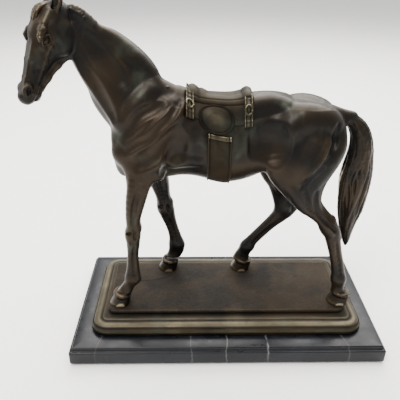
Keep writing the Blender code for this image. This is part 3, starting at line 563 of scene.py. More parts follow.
def skin_side(field, x, z, side):
    """How far the surface stands from the middle plane, on one side, at x and z."""
    i = int(round((x - field.low[0]) / field.step))
    k = int(round((z - field.low[2]) / field.step))
    if not (0 <= i < field.shape[0] and 0 <= k < field.shape[2]):
        return None
    column = field.value[i, :, k]
    inside = np.flatnonzero(column < 0.0)
    if len(inside) == 0:
        return None
    j = inside[-1] if side > 0 else inside[0]
    n = j + (1 if side > 0 else -1)
    if not 0 <= n < len(column):
        return None
    share = column[j] / (column[j] - column[n])
    return float(field.low[1] + field.step * (j + (n - j) * share))


# Where each ridge and crease met the skin when it was first laid, so that a second, finer grid of
# the same horse gets the same ones
LAID = {}


def faded(count, start):
    """Shares of a radius that die away towards both ends. start says how far each end is cut off."""
    return np.sin(np.linspace(start, math.pi - start, count)) ** 0.5


def lay(field, side, points, radius, height, blend, hollow=False):
    """A ridge, or a crease if hollow, laid on one side of the horse through points of x and z."""
    key = (side, tuple(points), radius)
    if key not in LAID:
        spots = []
        for x, z in smooth_path(points, 3 * len(points)):
            y = skin_side(field, x, z, side)
            if y is not None:
                out = radius - height if hollow else height - radius
                spots.append(vec(x, y + side * out, z))
        LAID[key] = spots
    spots = LAID[key]
    if len(spots) < 2:
        return
    rope(field, spots, radius * faded(len(spots), 0.12), blend, hollow)


def swell(field, side, x, z, radius, height, blend):
    """A round swelling on one side of the horse."""
    key = (side, x, z, radius)
    if key not in LAID:
        LAID[key] = skin_side(field, x, z, side)
    if LAID[key] is not None:
        ball(field, vec(x, LAID[key] + side * (height - radius), z), (radius, radius, radius), blend)


# Ridges and creases of the body, each on both sides: points of x and z, radius, height, blend
BODY_RIDGES = [
    # Shoulder: the edge of the shoulder blade, the two muscles on it, and the triceps
    ([(-73, 281), (-84, 270), (-97, 253), (-107, 237), (-112, 222)], 8.0, 1.0, 8.0),
    ([(-60, 268), (-73, 257), (-87, 246), (-98, 235), (-106, 224)], 8.0, 1.4, 7.0),
    ([(-46, 264), (-58, 252.7), (-66.8, 245), (-76.7, 235), (-88, 227), (-99, 217)], 8.5, 2.2, 6.0),
    ([(-62, 232), (-70, 217), (-78, 204)], 9.0, 1.6, 8.0),
    ([(-70, 208), (-56, 211), (-44, 213), (-28, 211)], 6.0, 1.1, 6.0),
    # Back and loin
    ([(-26, 261), (0, 256), (24, 259.5), (44, 261), (60, 260)], 9.0, 0.9, 8.0),
    # Quarters: the croup, the edge of the thigh, its two muscles
    ([(58, 250), (72, 251), (90, 247), (104, 240)], 12.0, 1.0, 10.0),
    ([(57, 245), (51, 231), (46, 216), (43, 204)], 7.5, 1.4, 7.0),
    ([(82, 240), (84, 226), (79, 212), (69, 196)], 12.0, 1.3, 9.0),
    ([(91, 238), (89, 226), (80, 209), (69, 193)], 5.0, 1.2, 4.0),
    ([(106, 240), (104, 226), (97, 212), (89, 198), (84, 186)], 7.0, 1.2, 6.0),
]
BODY_CREASES = [
    ([(-66, 270), (-76, 264), (-87, 259), (-95, 250), (-101, 240)], 5.0, 0.9, 5.0),
    (
        [(-50, 270), (-56, 262), (-63, 254), (-70.5, 247.5), (-80, 237.6), (-92, 231), (-103, 222)],
        4.0, 1.7, 4.0,
    ),
    ([(-50, 247), (-60, 236), (-71, 226), (-84, 216), (-94, 207)], 7.0, 1.1, 7.0),
    ([(-49, 243), (-52, 228), (-57, 212), (-65, 198)], 7.0, 1.4, 7.0),
    ([(36, 250), (35, 238), (36, 226), (38, 216)], 14.0, 1.5, 12.0),
    ([(101, 250), (99, 238), (96, 228), (87, 211), (76, 197), (70, 186)], 3.2, 2.1, 3.0),
]
RIBS = [(-34 + 10.5 * i, 1.0 - 0.08 * i) for i in range(6)]
BODY_SWELLS = [
    (58.5, 245, 10.0, 1.3, 9.0),
    (-72, 196, 6.0, 1.6, 6.0),
    (-109, 216, 8.0, 1.0, 8.0),
    (-42, 234, 14.0, 0.9, 10.0),
]
NECK_RIDGES = [
    ([(-146, 315), (-137, 299), (-124, 282), (-112, 262), (-106, 244)], 8.0, 1.0, 8.0),
    ([(-120, 328), (-104, 313), (-88, 299), (-74, 286)], 7.0, 0.8, 7.0),
]
NECK_CREASES = [
    ([(-146, 312), (-138, 299), (-129, 284), (-121, 266), (-114, 250)], 6.0, 0.9, 6.0),
    ([(-136, 330), (-124, 316), (-110, 298), (-101, 284)], 6.0, 0.7, 7.0),
]
# Joints of each leg: heights of the coronet, the fetlock, the knee or hock, and the top
LEG_JOINTS = {
    "near_fore": (53.0, 71.0, 127.0, 196.0),
    "far_fore": (56.0, 75.0, 128.0, 196.0),
    "near_hind": (52.0, 69.0, 136.0, 196.0),
    "far_hind": (52.0, 70.0, 130.0, 196.0),
}
# Along a leg: points of (level, share of the way from front to rear), radius, height, blend
FORE_RIDGES = [
    ([(3.0, 0.22), (2.7, 0.26), (2.35, 0.3), (2.1, 0.34)], 4.5, 1.3, 3.0),
    ([(2.9, 0.74), (2.6, 0.74), (2.25, 0.7)], 4.5, 1.1, 3.0),
    ([(2.1, 0.3), (1.85, 0.32)], 3.6, 1.0, 2.5),
    ([(1.75, 0.25), (1.2, 0.25)], 2.2, 0.4, 1.6),
]
HIND_RIDGES = [
    ([(2.9, 0.3), (2.6, 0.32), (2.3, 0.36)], 5.0, 1.2, 4.0),
    ([(2.15, 0.45), (1.85, 0.42)], 4.4, 1.1, 3.0),
    ([(1.75, 0.25), (1.2, 0.25)], 2.2, 0.4, 1.6),
]
LEG_CREASES = [
    ([(1.78, 0.62), (1.5, 0.62), (1.15, 0.6)], 1.4, 0.8, 1.5),
    ([(1.95, 0.72), (2.1, 0.7)], 1.6, 0.5, 1.8),
]
FORE_CREASES = LEG_CREASES + [
    ([(2.9, 0.52), (2.65, 0.5), (2.4, 0.5), (2.15, 0.52)], 2.2, 0.7, 2.4),
    ([(2.05, 0.08), (2.08, 0.4)], 1.2, 0.35, 1.4),
]
HIND_CREASES = LEG_CREASES + [
    ([(2.75, 0.8), (2.5, 0.78), (2.3, 0.72), (2.1, 0.64)], 2.4, 1.3, 2.4),
    ([(2.9, 0.55), (2.6, 0.56), (2.35, 0.56)], 2.0, 0.5, 2.6),
]


def add_leg_details(field, name, table, side):
    fore = name.endswith("fore")
    joints = LEG_JOINTS[name]

    def place(level, share):
        z = float(np.interp(level, [0, 1, 2, 3], joints))
        front, rear, lateral, half_width = table_curve(table, np.array([z]))[0]
        return vec(front + (rear - front) * share, MIDDLE + side * lateral, z), half_width

    # Bones and joints that stand out all round
    if fore:
        knee, knee_width = place(2.0, 0.42)
        ball(field, knee + vec(0.2, 0, 1.0), (7.0, knee_width + 0.4, 9.0), 5.0)
        ball(field, place(2.12, 0.95)[0] + vec(-1.0, 0, 0), (2.8, 2.6, 4.0), 3.5)
    else:
        hock, hock_width = place(2.0, 0.45)
        ball(field, hock, (7.8, hock_width + 0.3, 9.5), 5.0)
        point = place(2.12, 0.97)[0]
        rod(field, point + vec(-0.5, 0, 2.0), place(1.8, 0.9)[0], 3.8, 3.0, 3.0)
        rod(field, point, place(2.45, 0.93)[0], 3.2, 2.2, 3.0)
    fetlock, width = place(1.0, 0.52)
    ball(field, fetlock + vec(0, 0, 1.0), (7.6, width + 0.3, 6.4), 5.0)
    ball(field, place(0.92, 0.9)[0], (2.6, 2.6, 3.2), 2.5)
    for side_of_leg in (-1.0, 1.0):
        ball(field, place(0.98, 0.72)[0] + vec(0, side_of_leg * (width - 1.6), 0), (2.8, 2.4, 3.2), 2.0)
    # The flexor tendon behind the cannon bone
    rope(field, [place(1.85, 0.86)[0], place(1.5, 0.88)[0], place(1.12, 0.86)[0]], [2.4, 2.2, 2.6], 1.2)
    ridges, creases = (FORE_RIDGES, FORE_CREASES) if fore else (HIND_RIDGES, HIND_CREASES)
    for lines, hollow in ((ridges, False), (creases, True)):
        for points, radius, height, blend in lines:
            out = radius - height if hollow else height - radius
            path = []
            for level, share in smooth_path(points, 3 * len(points)):
                spot, half_width = place(level, share)
                off = 2.0 * (share - 0.5)
                path.append((spot, half_width * math.sqrt(max(0.05, 1.0 - off * off))))
            for face in (-1.0, 1.0):
                line = [spot + vec(0, face * (reach + out), 0) for spot, reach in path]
                rope(field, line, radius * faded(len(line), 0.25), blend, hollow)


LEGS = {
    "near_fore": (NEAR_FORE, -1.0),
    "far_fore": (FAR_FORE, 1.0),
    "near_hind": (NEAR_HIND, -1.0),
    "far_hind": (FAR_HIND, 1.0),
}


def add_masses(field):
    """The large soft shapes under the skin."""
    for side, _ in SIDES:

        def at(x, lateral, z):
            return vec(x, MIDDLE + side * lateral, z)

        rod(field, at(-58, 13, 255), at(-97, 14, 222), 13, 12, 10)
        rod(field, at(-66, 20, 234), at(-78, 22, 205), 9, 8.5, 10)
        ball(field, at(-104, 11, 212), (11, 10, 14), 8)
        ball(field, at(-108, 9, 199), (8, 8, 11), 6)
        rod(field, at(58, 13, 243), at(98, 9, 238), 14, 11, 12)
        rod(field, at(80, 14, 232), at(74, 19, 208), 16, 13, 12)
        rod(field, at(96, 13, 230), at(91, 20, 206), 11, 8.5, 9)
        rod(field, at(50, 20, 222), at(52, 21, 200), 9, 8, 10)
        ball(field, at(28, 18, 222), (26, 11, 22), 12)
    # Withers
    rod(field, vec(-52, MIDDLE, 271), vec(-30, MIDDLE, 265), 6.0, 5.0, 10)
    # Dock of the tail
    rod(field, vec(98, MIDDLE, 252), vec(122, MIDDLE, 247), 8.0, 7.0, 8)
    # Belly line and breastbone
    rod(field, vec(-100, MIDDLE, 194), vec(-62, MIDDLE, 196), 9, 9, 8)
    # Sheath
    rod(field, vec(34, MIDDLE, 198), vec(50, MIDDLE, 200), 5.5, 5.0, 6)


def add_mane(field, dice):
    """Short locks that lie over the crest and fall a little way down both sides."""
    for side, _ in SIDES:
        for s in np.linspace(0.25, 6.55, 58):
            crest, throat, half_width = neck_section(s)
            down = unit(throat - crest)
            back = unit(np.cross(vec(0, 1, 0), crest - throat)) * -1.0
            length = 8.5 + dice.uniform(-1.5, 2.0) - 2.5 * max(0.0, 1.6 - s)
            start = crest + down * 2.0
            sway = dice.uniform(0.15, 0.75)
            width = half_width * 0.34
            middle = crest + down * length * 0.5 + back * (2.2 * sway) + vec(0, side * width, 0)
            end = crest + down * length + back * (5.0 * sway) + vec(0, side * (width + 0.9), 0)
            thick = dice.uniform(1.35, 1.9)
            rope(field, [start, middle, end], [thick, thick, 0.5], 0.5)
            root = start - down * dice.uniform(0.2, 1.4)
            rope(field, [root, start + back * 2.5], [thick * 0.9, 0.8], 0.6)


def add_tail_hair(field, dice):
    """Strands that run down the tail, each in its own place on the section."""
    count = 52
    for n in range(count):
        turn = 2.0 * math.pi * n / count + dice.uniform(-0.06, 0.06)
        first = dice.uniform(0.2, 1.6)
        last = dice.uniform(9.0, 12.1)
        phase = dice.uniform(0.0, 6.3)
        wave = dice.uniform(0.02, 0.08)
        reach = dice.uniform(0.90, 1.02)
        points = []
        radii = []
        for s in np.linspace(first, last, 16):
            outer, inner, half_width = tail_section(s)
            angle = turn + wave * math.sin(phase + 1.1 * s) * 4.0
            centre = (outer + inner) / 2.0
            half = (outer - inner) / 2.0
            fall = (s - first) / (last - first)
            across = vec(0, half_width * math.sin(angle) * reach, 0)
            points.append(centre + half * (math.cos(angle) * reach) + across)
            taper = math.sin(math.pi * (0.10 + 0.86 * fall)) ** 0.6
            radii.append((1.5 + 0.5 * math.sin(phase + s)) * taper + 0.25)
        rope(field, points, radii, 0.7)


# ---------------------------------------------------------------- the head


def add_head_details(field):
    for side, _ in SIDES:

        def at(down, out, across):
            # The head tilts a little, so that the far eye and its brow sit lower and further out
            tilt = 1.0 if side > 0.0 and 10.0 < down < 36.0 and out > -4.0 else 0.0
            return on_head(down + 2.5 * tilt, out, side * (across + 1.2 * tilt))

        def lump(place, radii, blend, carve=False):
            ball(field, at(*place), radii, blend, [DOWN_FACE, OUT_OF_FACE, ACROSS_FACE * side], carve)

        def cord(places, radii, blend, carve=False):
            rope(field, [at(*place) for place in places], radii, blend, carve)

        def curved(places, count, radius, blend):
            rope(field, smooth_path([at(*place) for place in places], count), [radius] * count, blend)

        # Cheek: a flat round muscle with a clear edge
        lump((17.5, -13.5, 9.6), (15.5, 15.0, 6.8), 3.0)
        # Rear edge of the jaw, and the bars of the jaw
        cord([(3, -19, 9.6), (9, -26, 9.2), (20, -28.5, 8.4), (29, -25.5, 7.6)], [2.8, 3.2, 3.4, 3.2], 3.0)
        bars = [(30, -24.5, 6.4), (42, -18.2, 5.2), (56, -13.6, 4.2), (68, -11.2, 3.4)]
        cord(bars, [3.0, 2.8, 2.6, 2.6], 4.0)
        # Temple, the arch over the eye, the cheek bone and the facial crest
        cord([(2, 4.0, 8.6), (12, 6.5, 10.4)], [3.6, 4.0], 5.0)
        brow = [(14, 6.6, 10.8), (18.5, 8.2, 13.2), (23.5, 8.8, 14.2), (27.5, 7.6, 13.2)]
        cord(brow, [2.4, 3.0, 2.6, 1.6], 3.0)
        bone = [(16, -3.0, 12.4), (22, -3.2, 13.2), (28, -3.0, 12.8), (34, -3.2, 11.0)]
        cord(bone, [1.0, 1.5, 1.5, 1.2], 3.0)
        cord([(33, -2.6, 10.2), (42, -4.2, 8.4), (50, -5.0, 7.0)], [1.2, 0.9, 0.6], 3.0)
        # Side of the nose bone
        cord([(30, 8.2, 4.6), (46, 6.6, 4.3), (62, 4.4, 3.6), (70, 4.2, 3.0)], [2.6, 2.3, 1.9, 1.7], 2.0)
        # Hollows: over the eye, in front of it, behind the nostril, along the cheek's edge
        lump((12.0, 3.8, 14.6), (3.8, 2.2, 1.4), 3.0, carve=True)
        cord([(37, 3.4, 12.2), (52, 1.2, 10.2)], [3.0, 2.4], 3.4, carve=True)
        cord([(52, 0.6, 9.2), (66, -1.4, 8.9)], [2.4, 1.8], 2.6, carve=True)
        # Socket, eye and lids
        lump((25.0, 2.8, 15.6), (5.4, 4.2, 4.0), 1.0, carve=True)
        lump((25.0, 2.4, 11.0), (4.0, 3.4, 3.6), 0.15)
        upper = [(19.8, 1.4, 13.4), (22.0, 5.2, 14.4), (26.4, 6.2, 14.4), (30.4, 3.2, 12.8)]
        lower = [(19.8, 1.4, 13.4), (23.0, -0.9, 13.9), (26.8, -1.0, 13.7), (30.4, 3.2, 12.8)]
        curved(upper, 10, 0.95, 0.6)
        curved(lower, 10, 0.7, 0.6)
        # Nostril: a flared rim round a comma-shaped hole
        lump((72.5, 1.8, 5.4), (6.2, 4.4, 3.6), 2.6)
        rim = [(67.5, 0.6, 7.4), (68.5, 4.0, 7.4), (72.5, 5.4, 6.8)]
        rim += [(76.2, 3.6, 6.2), (76.6, 0.2, 6.8), (73.5, -1.8, 7.6)]
        curved(rim, 14, 1.1, 0.9)
        cord([(69.5, 1.8, 9.4), (72.0, 1.8, 8.8), (75.0, 0.8, 8.6)], [1.1, 2.0, 1.7], 0.7, carve=True)
        # Lips and the corner of the mouth
        cord([(66, -5.6, 6.2), (73, -5.0, 6.6), (79.5, -4.0, 5.0)], [1.9, 2.4, 2.4], 1.8)
        cord([(67, -9.8, 5.0), (73, -9.8, 5.2), (78, -8.8, 4.0)], [1.8, 2.2, 2.0], 1.8)
        mouth = [(63.5, -7.2, 9.0), (69, -7.6, 9.2), (75, -7.3, 8.8), (81, -6.6, 6.6)]
        cord(mouth, [0.6, 0.8, 0.8, 0.8], 0.5, carve=True)
    # Upper lip and chin
    ball(field, on_head(79.0, 0.4, 0.0), (5.0, 5.6, 6.4), 2.6, HEAD_AXES)
    ball(field, on_head(75.5, -11.0, 0.0), (4.6, 3.4, 4.2), 2.4, HEAD_AXES)
    ball(field, on_head(84.8, -6.6, 0.0), (2.2, 0.8, 6.0), 0.5, HEAD_AXES, carve=True)
    # Groove between the jaws
    groove = [on_head(28, -28, 0), on_head(42, -20.5, 0), on_head(58, -15.5, 0)]
    rope(field, groove, [4.0, 2.8, 1.8], 2.5, carve=True)
    # Forehead
    ball(field, on_head(18.0, 7.5, 0.0), (12.0, 7.0, 9.5), 4.0, HEAD_AXES)


# Outline of an ear: height over its root, half width, half thickness
EAR = [
    (0.0, 4.2, 3.6),
    (5.0, 4.9, 4.0),
    (10.0, 4.9, 3.7),
    (15.0, 3.9, 3.0),
    (19.5, 2.4, 2.0),
    (23.0, 0.7, 0.8),
]


def add_ears(field):
    for side, _ in SIDES:
        root = on_head(-2.5, 1.0, side * 8.6)
        rise = unit(ACROSS_FACE * side * 0.26 - DOWN_FACE * 0.93 + OUT_OF_FACE * 0.20)
        open_way = unit(OUT_OF_FACE * 0.86 + ACROSS_FACE * side * 0.50 - rise * 0.1)
        wide = unit(np.cross(rise, open_way))
        open_way = np.cross(wide, rise)
        axes = [wide, open_way, rise]
        for (h0, w0, t0), (h1, w1, t1) in zip(EAR, EAR[1:]):
            for share in (0.0, 1.0 / 3.0, 2.0 / 3.0):
                h, w, t = h0 + (h1 - h0) * share, w0 + (w1 - w0) * share, t0 + (t1 - t0) * share
                ball(field, root + rise * h, (w, t, 2.6), 1.4, axes)
        # The hollow of the ear, open to the front
        for h, w in ((3.5, 2.5), (7.0, 3.2), (11.0, 3.1), (15.0, 2.3), (18.5, 1.3)):
            ball(field, root + rise * h + open_way * 2.9, (w, 2.9, 3.2), 0.8, axes, carve=True)


def add_forelock(field, dice):
    for n in range(15):
        across = -5.0 + 10.0 * n / 14 + dice.uniform(-0.5, 0.5)
        length = dice.uniform(13.0, 21.0) * (1.0 - 0.07 * abs(across))
        points = []
        for t in np.linspace(0.0, 1.0, 6):
            down = -5.0 + (length + 5.0) * t
            out = 8.0 + 7.2 * math.sin(min(1.0, t * 1.5) * math.pi / 2.0) - 1.0 * t * t
            curl = 0.8 * math.sin(5.0 * t + n)
            points.append(on_head(down, out - 0.05 * across * across, across * (0.7 + 0.25 * t) + curl * t))
        rope(field, points, [1.3, 1.6, 1.5, 1.3, 0.9, 0.3], 0.5)


def horse(field):
    """Everything that is cast: drawn into whichever grid is given."""
    dice = np.random.default_rng(7)
    add_barrel(field)
    for table, side in LEGS.values():
        add_leg(field, table, side, 7.0)
    add_masses(field)
    add_neck(field, 7.0)
    for side, _ in SIDES:
        for points, radius, height, blend in BODY_RIDGES + NECK_RIDGES:
            lay(field, side, points, radius, height, blend)
        for x, z, radius, height, blend in BODY_SWELLS:
            swell(field, side, x, z, radius, height, blend)
        for points, radius, height, blend in BODY_CREASES + NECK_CREASES:
            lay(field, side, points, radius, height, blend, hollow=True)
        for x, depth in RIBS:
            lay(field, side, [(x, 248), (x + 3, 228), (x + 2, 208)], 4.5, 0.55 * depth, 4.0, hollow=True)
    for name, (table, side) in LEGS.items():
        add_leg_details(field, name, table, side)
    for toe, heel, lateral, half_width in HOOVES.values():
        add_hoof(field, toe, heel, lateral, half_width)
    add_tail(field, 3.0)
    add_tail_hair(field, dice)
    add_head(field, 4.0)
    add_head_details(field)
    add_ears(field)
    add_mane(field, dice)
    add_forelock(field, dice)


# ---------------------------------------------------------------- field to mesh


CORNERS = [(c & 1, (c >> 1) & 1, (c >> 2) & 1) for c in range(8)]


def sample(field, points):
    """Reads the field between the points of its grid."""
    spots = (points - field.low) / field.step
    base = np.clip(np.floor(spots).astype(int), 0, np.array(field.shape) - 2)
    part = np.clip(spots - base, 0.0, 1.0)
    result = np.zeros(len(points))
    for corner in CORNERS:
        x, y, z = [part[:, i] if corner[i] else 1 - part[:, i] for i in range(3)]
        result += x * y * z * field.value[tuple((base + corner).T)]
    return result


def slope_of(field, points):
    """The direction in which the field grows, at some points."""
    steps = np.eye(3) * field.step
    normal = np.stack([sample(field, points + step) - sample(field, points - step) for step in steps], 1)
    return normal / np.maximum(np.linalg.norm(normal, axis=1, keepdims=True), 1e-9)


def surface(field):
    """Surface nets: one vertex in each cell that the surface crosses, and a quad across each edge."""
    value = field.value
    inside = value < 0.0
    mixed = np.zeros(tuple(n - 1 for n in value.shape), dtype=bool)
    first = inside[:-1, :-1, :-1]
    nx, ny, nz = mixed.shape
    for dx, dy, dz in CORNERS[1:]:
        mixed |= inside[dx : dx + nx, dy : dy + ny, dz : dz + nz] != first
    cells = np.argwhere(mixed)
    number = np.full(mixed.shape, -1, dtype=np.int32)
    number[mixed] = np.arange(len(cells), dtype=np.int32)
    at = [value[tuple((cells + corner).T)].astype(np.float64) for corner in CORNERS]
    total = np.zeros((len(cells), 3))
    count = np.zeros(len(cells))
    for a in range(8):
        for b in range(a + 1, 8):
            gap = np.array(CORNERS[b]) - np.array(CORNERS[a])
            if np.abs(gap).sum() != 1:
                continue
            crossing = (at[a] < 0.0) != (at[b] < 0.0)
            share = np.where(crossing, at[a] / np.where(crossing, at[a] - at[b], 1.0), 0.0)
            spot = np.array(CORNERS[a]) + share[:, None] * gap
            total += np.where(crossing[:, None], spot, 0.0)
            count += crossing
    points = (cells + total / count[:, None]) * field.step + field.low
    quads = []
    for axis in range(3):
        low_in, high_in = (inside.take(range(k, value.shape[axis] - 1 + k), axis) for k in (0, 1))
        edges = np.argwhere(low_in != high_in)
        u, v = [(1, 2), (2, 0), (0, 1)][axis]
        keep = (edges[:, u] > 0) & (edges[:, v] > 0)
        keep &= (edges[:, u] < value.shape[u] - 1) & (edges[:, v] < value.shape[v] - 1)
        edges = edges[keep]
        outward = low_in[tuple(edges.T)]
        around = []
        for du, dv in ((-1, -1), (0, -1), (0, 0), (-1, 0)):
            spot = edges.copy()
            spot[:, u] += du
            spot[:, v] += dv
            around.append(number[tuple(spot.T)])
        quad = np.stack(around, 1)
        quad[~outward] = quad[~outward][:, ::-1]
        quads.append(quad)
    quads = np.concatenate(quads)
    # Two steps along the slope put each vertex on the surface itself
    for _ in range(2):
        normal = slope_of(field, points)
        points = points - normal * np.clip(sample(field, points), -0.4, 0.4)[:, None]
    return points, quads


def triangles(points, quads):
    """Each quad is split along its shorter diagonal."""
    a, b, c, d = quads.T
    short = np.linalg.norm(points[a] - points[c], axis=1) <= np.linalg.norm(points[b] - points[d], axis=1)
    one = np.where(short[:, None], np.stack([a, b, c], 1), np.stack([a, b, d], 1))
    two = np.where(short[:, None], np.stack([a, c, d], 1), np.stack([b, c, d], 1))
    return np.concatenate([one, two])


class Skin:
    """A triangle mesh with a normal, a recess and an edge value at each vertex."""

    def __init__(self, points, values, faces):
        self.points = points
        self.values = values
        self.faces = faces

    def split(self, where, height):
        """Cut the faces for which where() holds at height() = 0, and leave the others whole."""
        level = height(self.points)
        face_level = level[self.faces]
        crossing = (face_level.min(1) < 0) & (face_level.max(1) > 0)
        crossing &= where(self.points[self.faces].mean(1))
        whole = self.faces[~crossing]
        made = {}
        new_points = []
        new_values = []
        new_faces = []

        def between(i, j):
            key = (min(i, j), max(i, j))
            if key not in made:
                i, j = key
                t = level[i] / (level[i] - level[j])
                made[key] = len(self.points) + len(new_points)
                new_points.append(self.points[i] * (1 - t) + self.points[j] * t)
                new_values.append(self.values[i] * (1 - t) + self.values[j] * t)
            return made[key]

        for face in self.faces[crossing]:
            below = [k for k in range(3) if level[face[k]] < 0]
            lone = below[0] if len(below) == 1 else [k for k in range(3) if k not in below][0]
            a, b, c = face[lone], face[(lone + 1) % 3], face[(lone + 2) % 3]
            ab, ac = between(a, b), between(a, c)
            new_faces += [(a, ab, ac), (ab, b, c), (ab, c, ac)]
        if new_faces:
            self.points = np.vstack([self.points, new_points])
            self.values = np.vstack([self.values, new_values])
            self.faces = np.vstack([whole, new_faces])

    def part(self, where):
        """The faces whose centres satisfy where(), with every open end closed by a flat cap."""
        faces = self.faces[where(self.points[self.faces].mean(1))]
        used, faces = np.unique(faces, return_inverse=True)
        faces = faces.reshape(-1, 3)
        points = self.points[used]
        values = self.values[used]
        flat = np.zeros(len(faces), dtype=bool)
        edges = np.concatenate([faces[:, [0, 1]], faces[:, [1, 2]], faces[:, [2, 0]]])
        codes = edges[:, 0] * len(points) + edges[:, 1]
        reverse = edges[:, 1] * len(points) + edges[:, 0]
        open_edges = edges[~np.isin(codes, reverse)]
        following = dict((int(a), int(b)) for a, b in open_edges)
        caps = []
        while following:
            start, spot = following.popitem()
            loop = [start]
            while spot != start and spot in following:
                loop.append(spot)
                spot = following.pop(spot)
            centre = len(points)
            points = np.vstack([points, points[loop].mean(0)])
            values = np.vstack([values, values[loop].mean(0)])
            for a, b in zip(loop, loop[1:] + loop[:1]):
                caps.append((b, a, centre))
        if caps:
            faces = np.vstack([faces, caps])
            flat = np.concatenate([flat, np.ones(len(caps), dtype=bool)])
        return points, values, faces, flat


def skin_of(field):
    """The mesh of a field. values holds the normal, how hollow the place is, and how proud."""
    points, quads = surface(field)
    normal = slope_of(field, points)
    hollow = np.zeros(len(points))
    proud = np.zeros(len(points))
    for reach, weight in ((1.5, 0.35), (3.0, 0.35), (5.5, 0.3)):
        hollow += weight * (1.0 - sample(field, points + normal * reach) / reach)
        proud += weight * (1.0 + sample(field, points - normal * reach) / reach)
    return Skin(points, np.column_stack([normal, hollow, proud]), triangles(points, quads))


def put_in(name, data):
    """A new object in the scene."""
    item = bpy.data.objects.new(name, data)
    bpy.context.scene.collection.objects.link(item)
    return item


def add_layer(mesh, label, values):
    layer = mesh.attributes.new(label, "FLOAT", "POINT")
    layer.data.foreach_set("value", values.astype(np.float32))


def mesh_object(name, points, values, faces, flat):
    """A piece cut from a skin. Its caps are flat, and the rest has the normals of the field."""
    mesh = bpy.data.meshes.new(name)
    mesh.vertices.add(len(points))
    mesh.vertices.foreach_set("co", (points * MM).astype(np.float32).ravel())
    mesh.loops.add(len(faces) * 3)
    mesh.loops.foreach_set("vertex_index", faces.astype(np.int32).ravel())
    mesh.polygons.add(len(faces))
    mesh.polygons.foreach_set("loop_start", np.arange(0, len(faces) * 3, 3, dtype=np.int32))
    mesh.update(calc_edges=True)
    mesh.shade_smooth()
    add_layer(mesh, "hollow", values[:, 3])
    add_layer(mesh, "proud", values[:, 4])
    normals = values[:, :3][faces.ravel()]
    corners = points[faces]
    face_normals = np.cross(corners[:, 1] - corners[:, 0], corners[:, 2] - corners[:, 0])
    face_normals /= np.maximum(np.linalg.norm(face_normals, axis=1, keepdims=True), 1e-12)
    normals = np.where(np.repeat(flat, 3)[:, None], np.repeat(face_normals, 3, axis=0), normals)
    normals /= np.maximum(np.linalg.norm(normals, axis=1, keepdims=True), 1e-12)
    mesh.normals_split_custom_set(normals.astype(np.float32))
    return put_in(name, mesh)


def keep(item, material, slot, *nodes):
    """Give a finished piece its material and its body, and hide the CAD nodes that it stands for."""
    item.data.materials.clear()
    item.data.materials.append(material)
    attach(item, "root")
    if nodes:
        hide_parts(*nodes)
    return item


# ---------------------------------------------------------------- materials


class Paint:
    """A material under construction: every helper adds one node and returns its output."""

    def __init__(self, name):
        self.material = bpy.data.materials.new(name)
        self.material.use_nodes = True
        self.tree = self.material.node_tree
        self.shader = self.tree.nodes["Principled BSDF"]
        self.place = self.tree.nodes.new("ShaderNodeTexCoord").outputs["Object"]

    def link(self, source, target):
        if hasattr(source, "links"):
            self.tree.links.new(source, target)
        else:
            target.default_value = source

    def scaled(self, x, y, z):
        node = self.tree.nodes.new("ShaderNodeMapping")
        self.link(self.place, node.inputs["Vector"])
        node.inputs["Scale"].default_value = (x, y, z)
        return node.outputs["Vector"]

    def noise(self, scale, detail=3.0, rough=0.55, place=None, warp=0.0):
        node = self.tree.nodes.new("ShaderNodeTexNoise")
        self.link(self.place if place is None else place, node.inputs["Vector"])
        node.inputs["Scale"].default_value = scale
        node.inputs["Detail"].default_value = detail
        node.inputs["Roughness"].default_value = rough
        node.inputs["Distortion"].default_value = warp
        return node.outputs["Fac"]

    def math(self, operation, a, b=0.0, clamp=False):
        node = self.tree.nodes.new("ShaderNodeMath")
        node.operation = operation
        node.use_clamp = clamp
        self.link(a, node.inputs[0])
        self.link(b, node.inputs[1])
        return node.outputs[0]

    def times(self, a, b):
        return self.math("MULTIPLY", a, b)

    def plus(self, a, b, clamp=False):
        return self.math("ADD", a, b, clamp)

    def ramp(self, value, *stops):
        node = self.tree.nodes.new("ShaderNodeValToRGB")
        self.link(value, node.inputs["Fac"])
        points = node.color_ramp.elements
        while len(points) < len(stops):
            points.new(0.5)
        for point, (position, colour) in zip(points, stops):
            point.position = position
            point.color = (*colour, 1.0)
        return node.outputs["Color"]

    def steps(self, value, *stops):
        return self.ramp(value, *[(position, (level, level, level)) for position, level in stops])

    def mix(self, share, a, b):
        node = self.tree.nodes.new("ShaderNodeMix")
        node.data_type = "RGBA"
        self.link(share, node.inputs["Factor"])
        for socket, colour in ((node.inputs["A"], a), (node.inputs["B"], b)):
            if hasattr(colour, "links"):
                self.link(colour, socket)
            else:
                socket.default_value = (*colour, 1.0)
        return node.outputs["Result"]

    def attribute(self, name):
        node = self.tree.nodes.new("ShaderNodeAttribute")
        node.attribute_name = name
        return node.outputs["Fac"]

    def facing_up(self):
        geometry = self.tree.nodes.new("ShaderNodeNewGeometry")
        parts = self.tree.nodes.new("ShaderNodeSeparateXYZ")
        self.link(geometry.outputs["Normal"], parts.inputs["Vector"])
        return parts.outputs["Z"]

    def axis(self, name):
        parts = self.tree.nodes.new("ShaderNodeSeparateXYZ")
        self.link(self.place, parts.inputs["Vector"])
        return parts.outputs[name]

    def bump(self, height, strength, distance):
        node = self.tree.nodes.new("ShaderNodeBump")
        self.link(height, node.inputs["Height"])
        node.inputs["Strength"].default_value = strength
        node.inputs["Distance"].default_value = distance
        self.link(node.outputs["Normal"], self.shader.inputs["Normal"])

    def done(self, colour, roughness, metallic=0.0):
        self.link(colour, self.shader.inputs["Base Color"])
        self.link(roughness, self.shader.inputs["Roughness"])
        self.shader.inputs["Metallic"].default_value = metallic
        return self.material
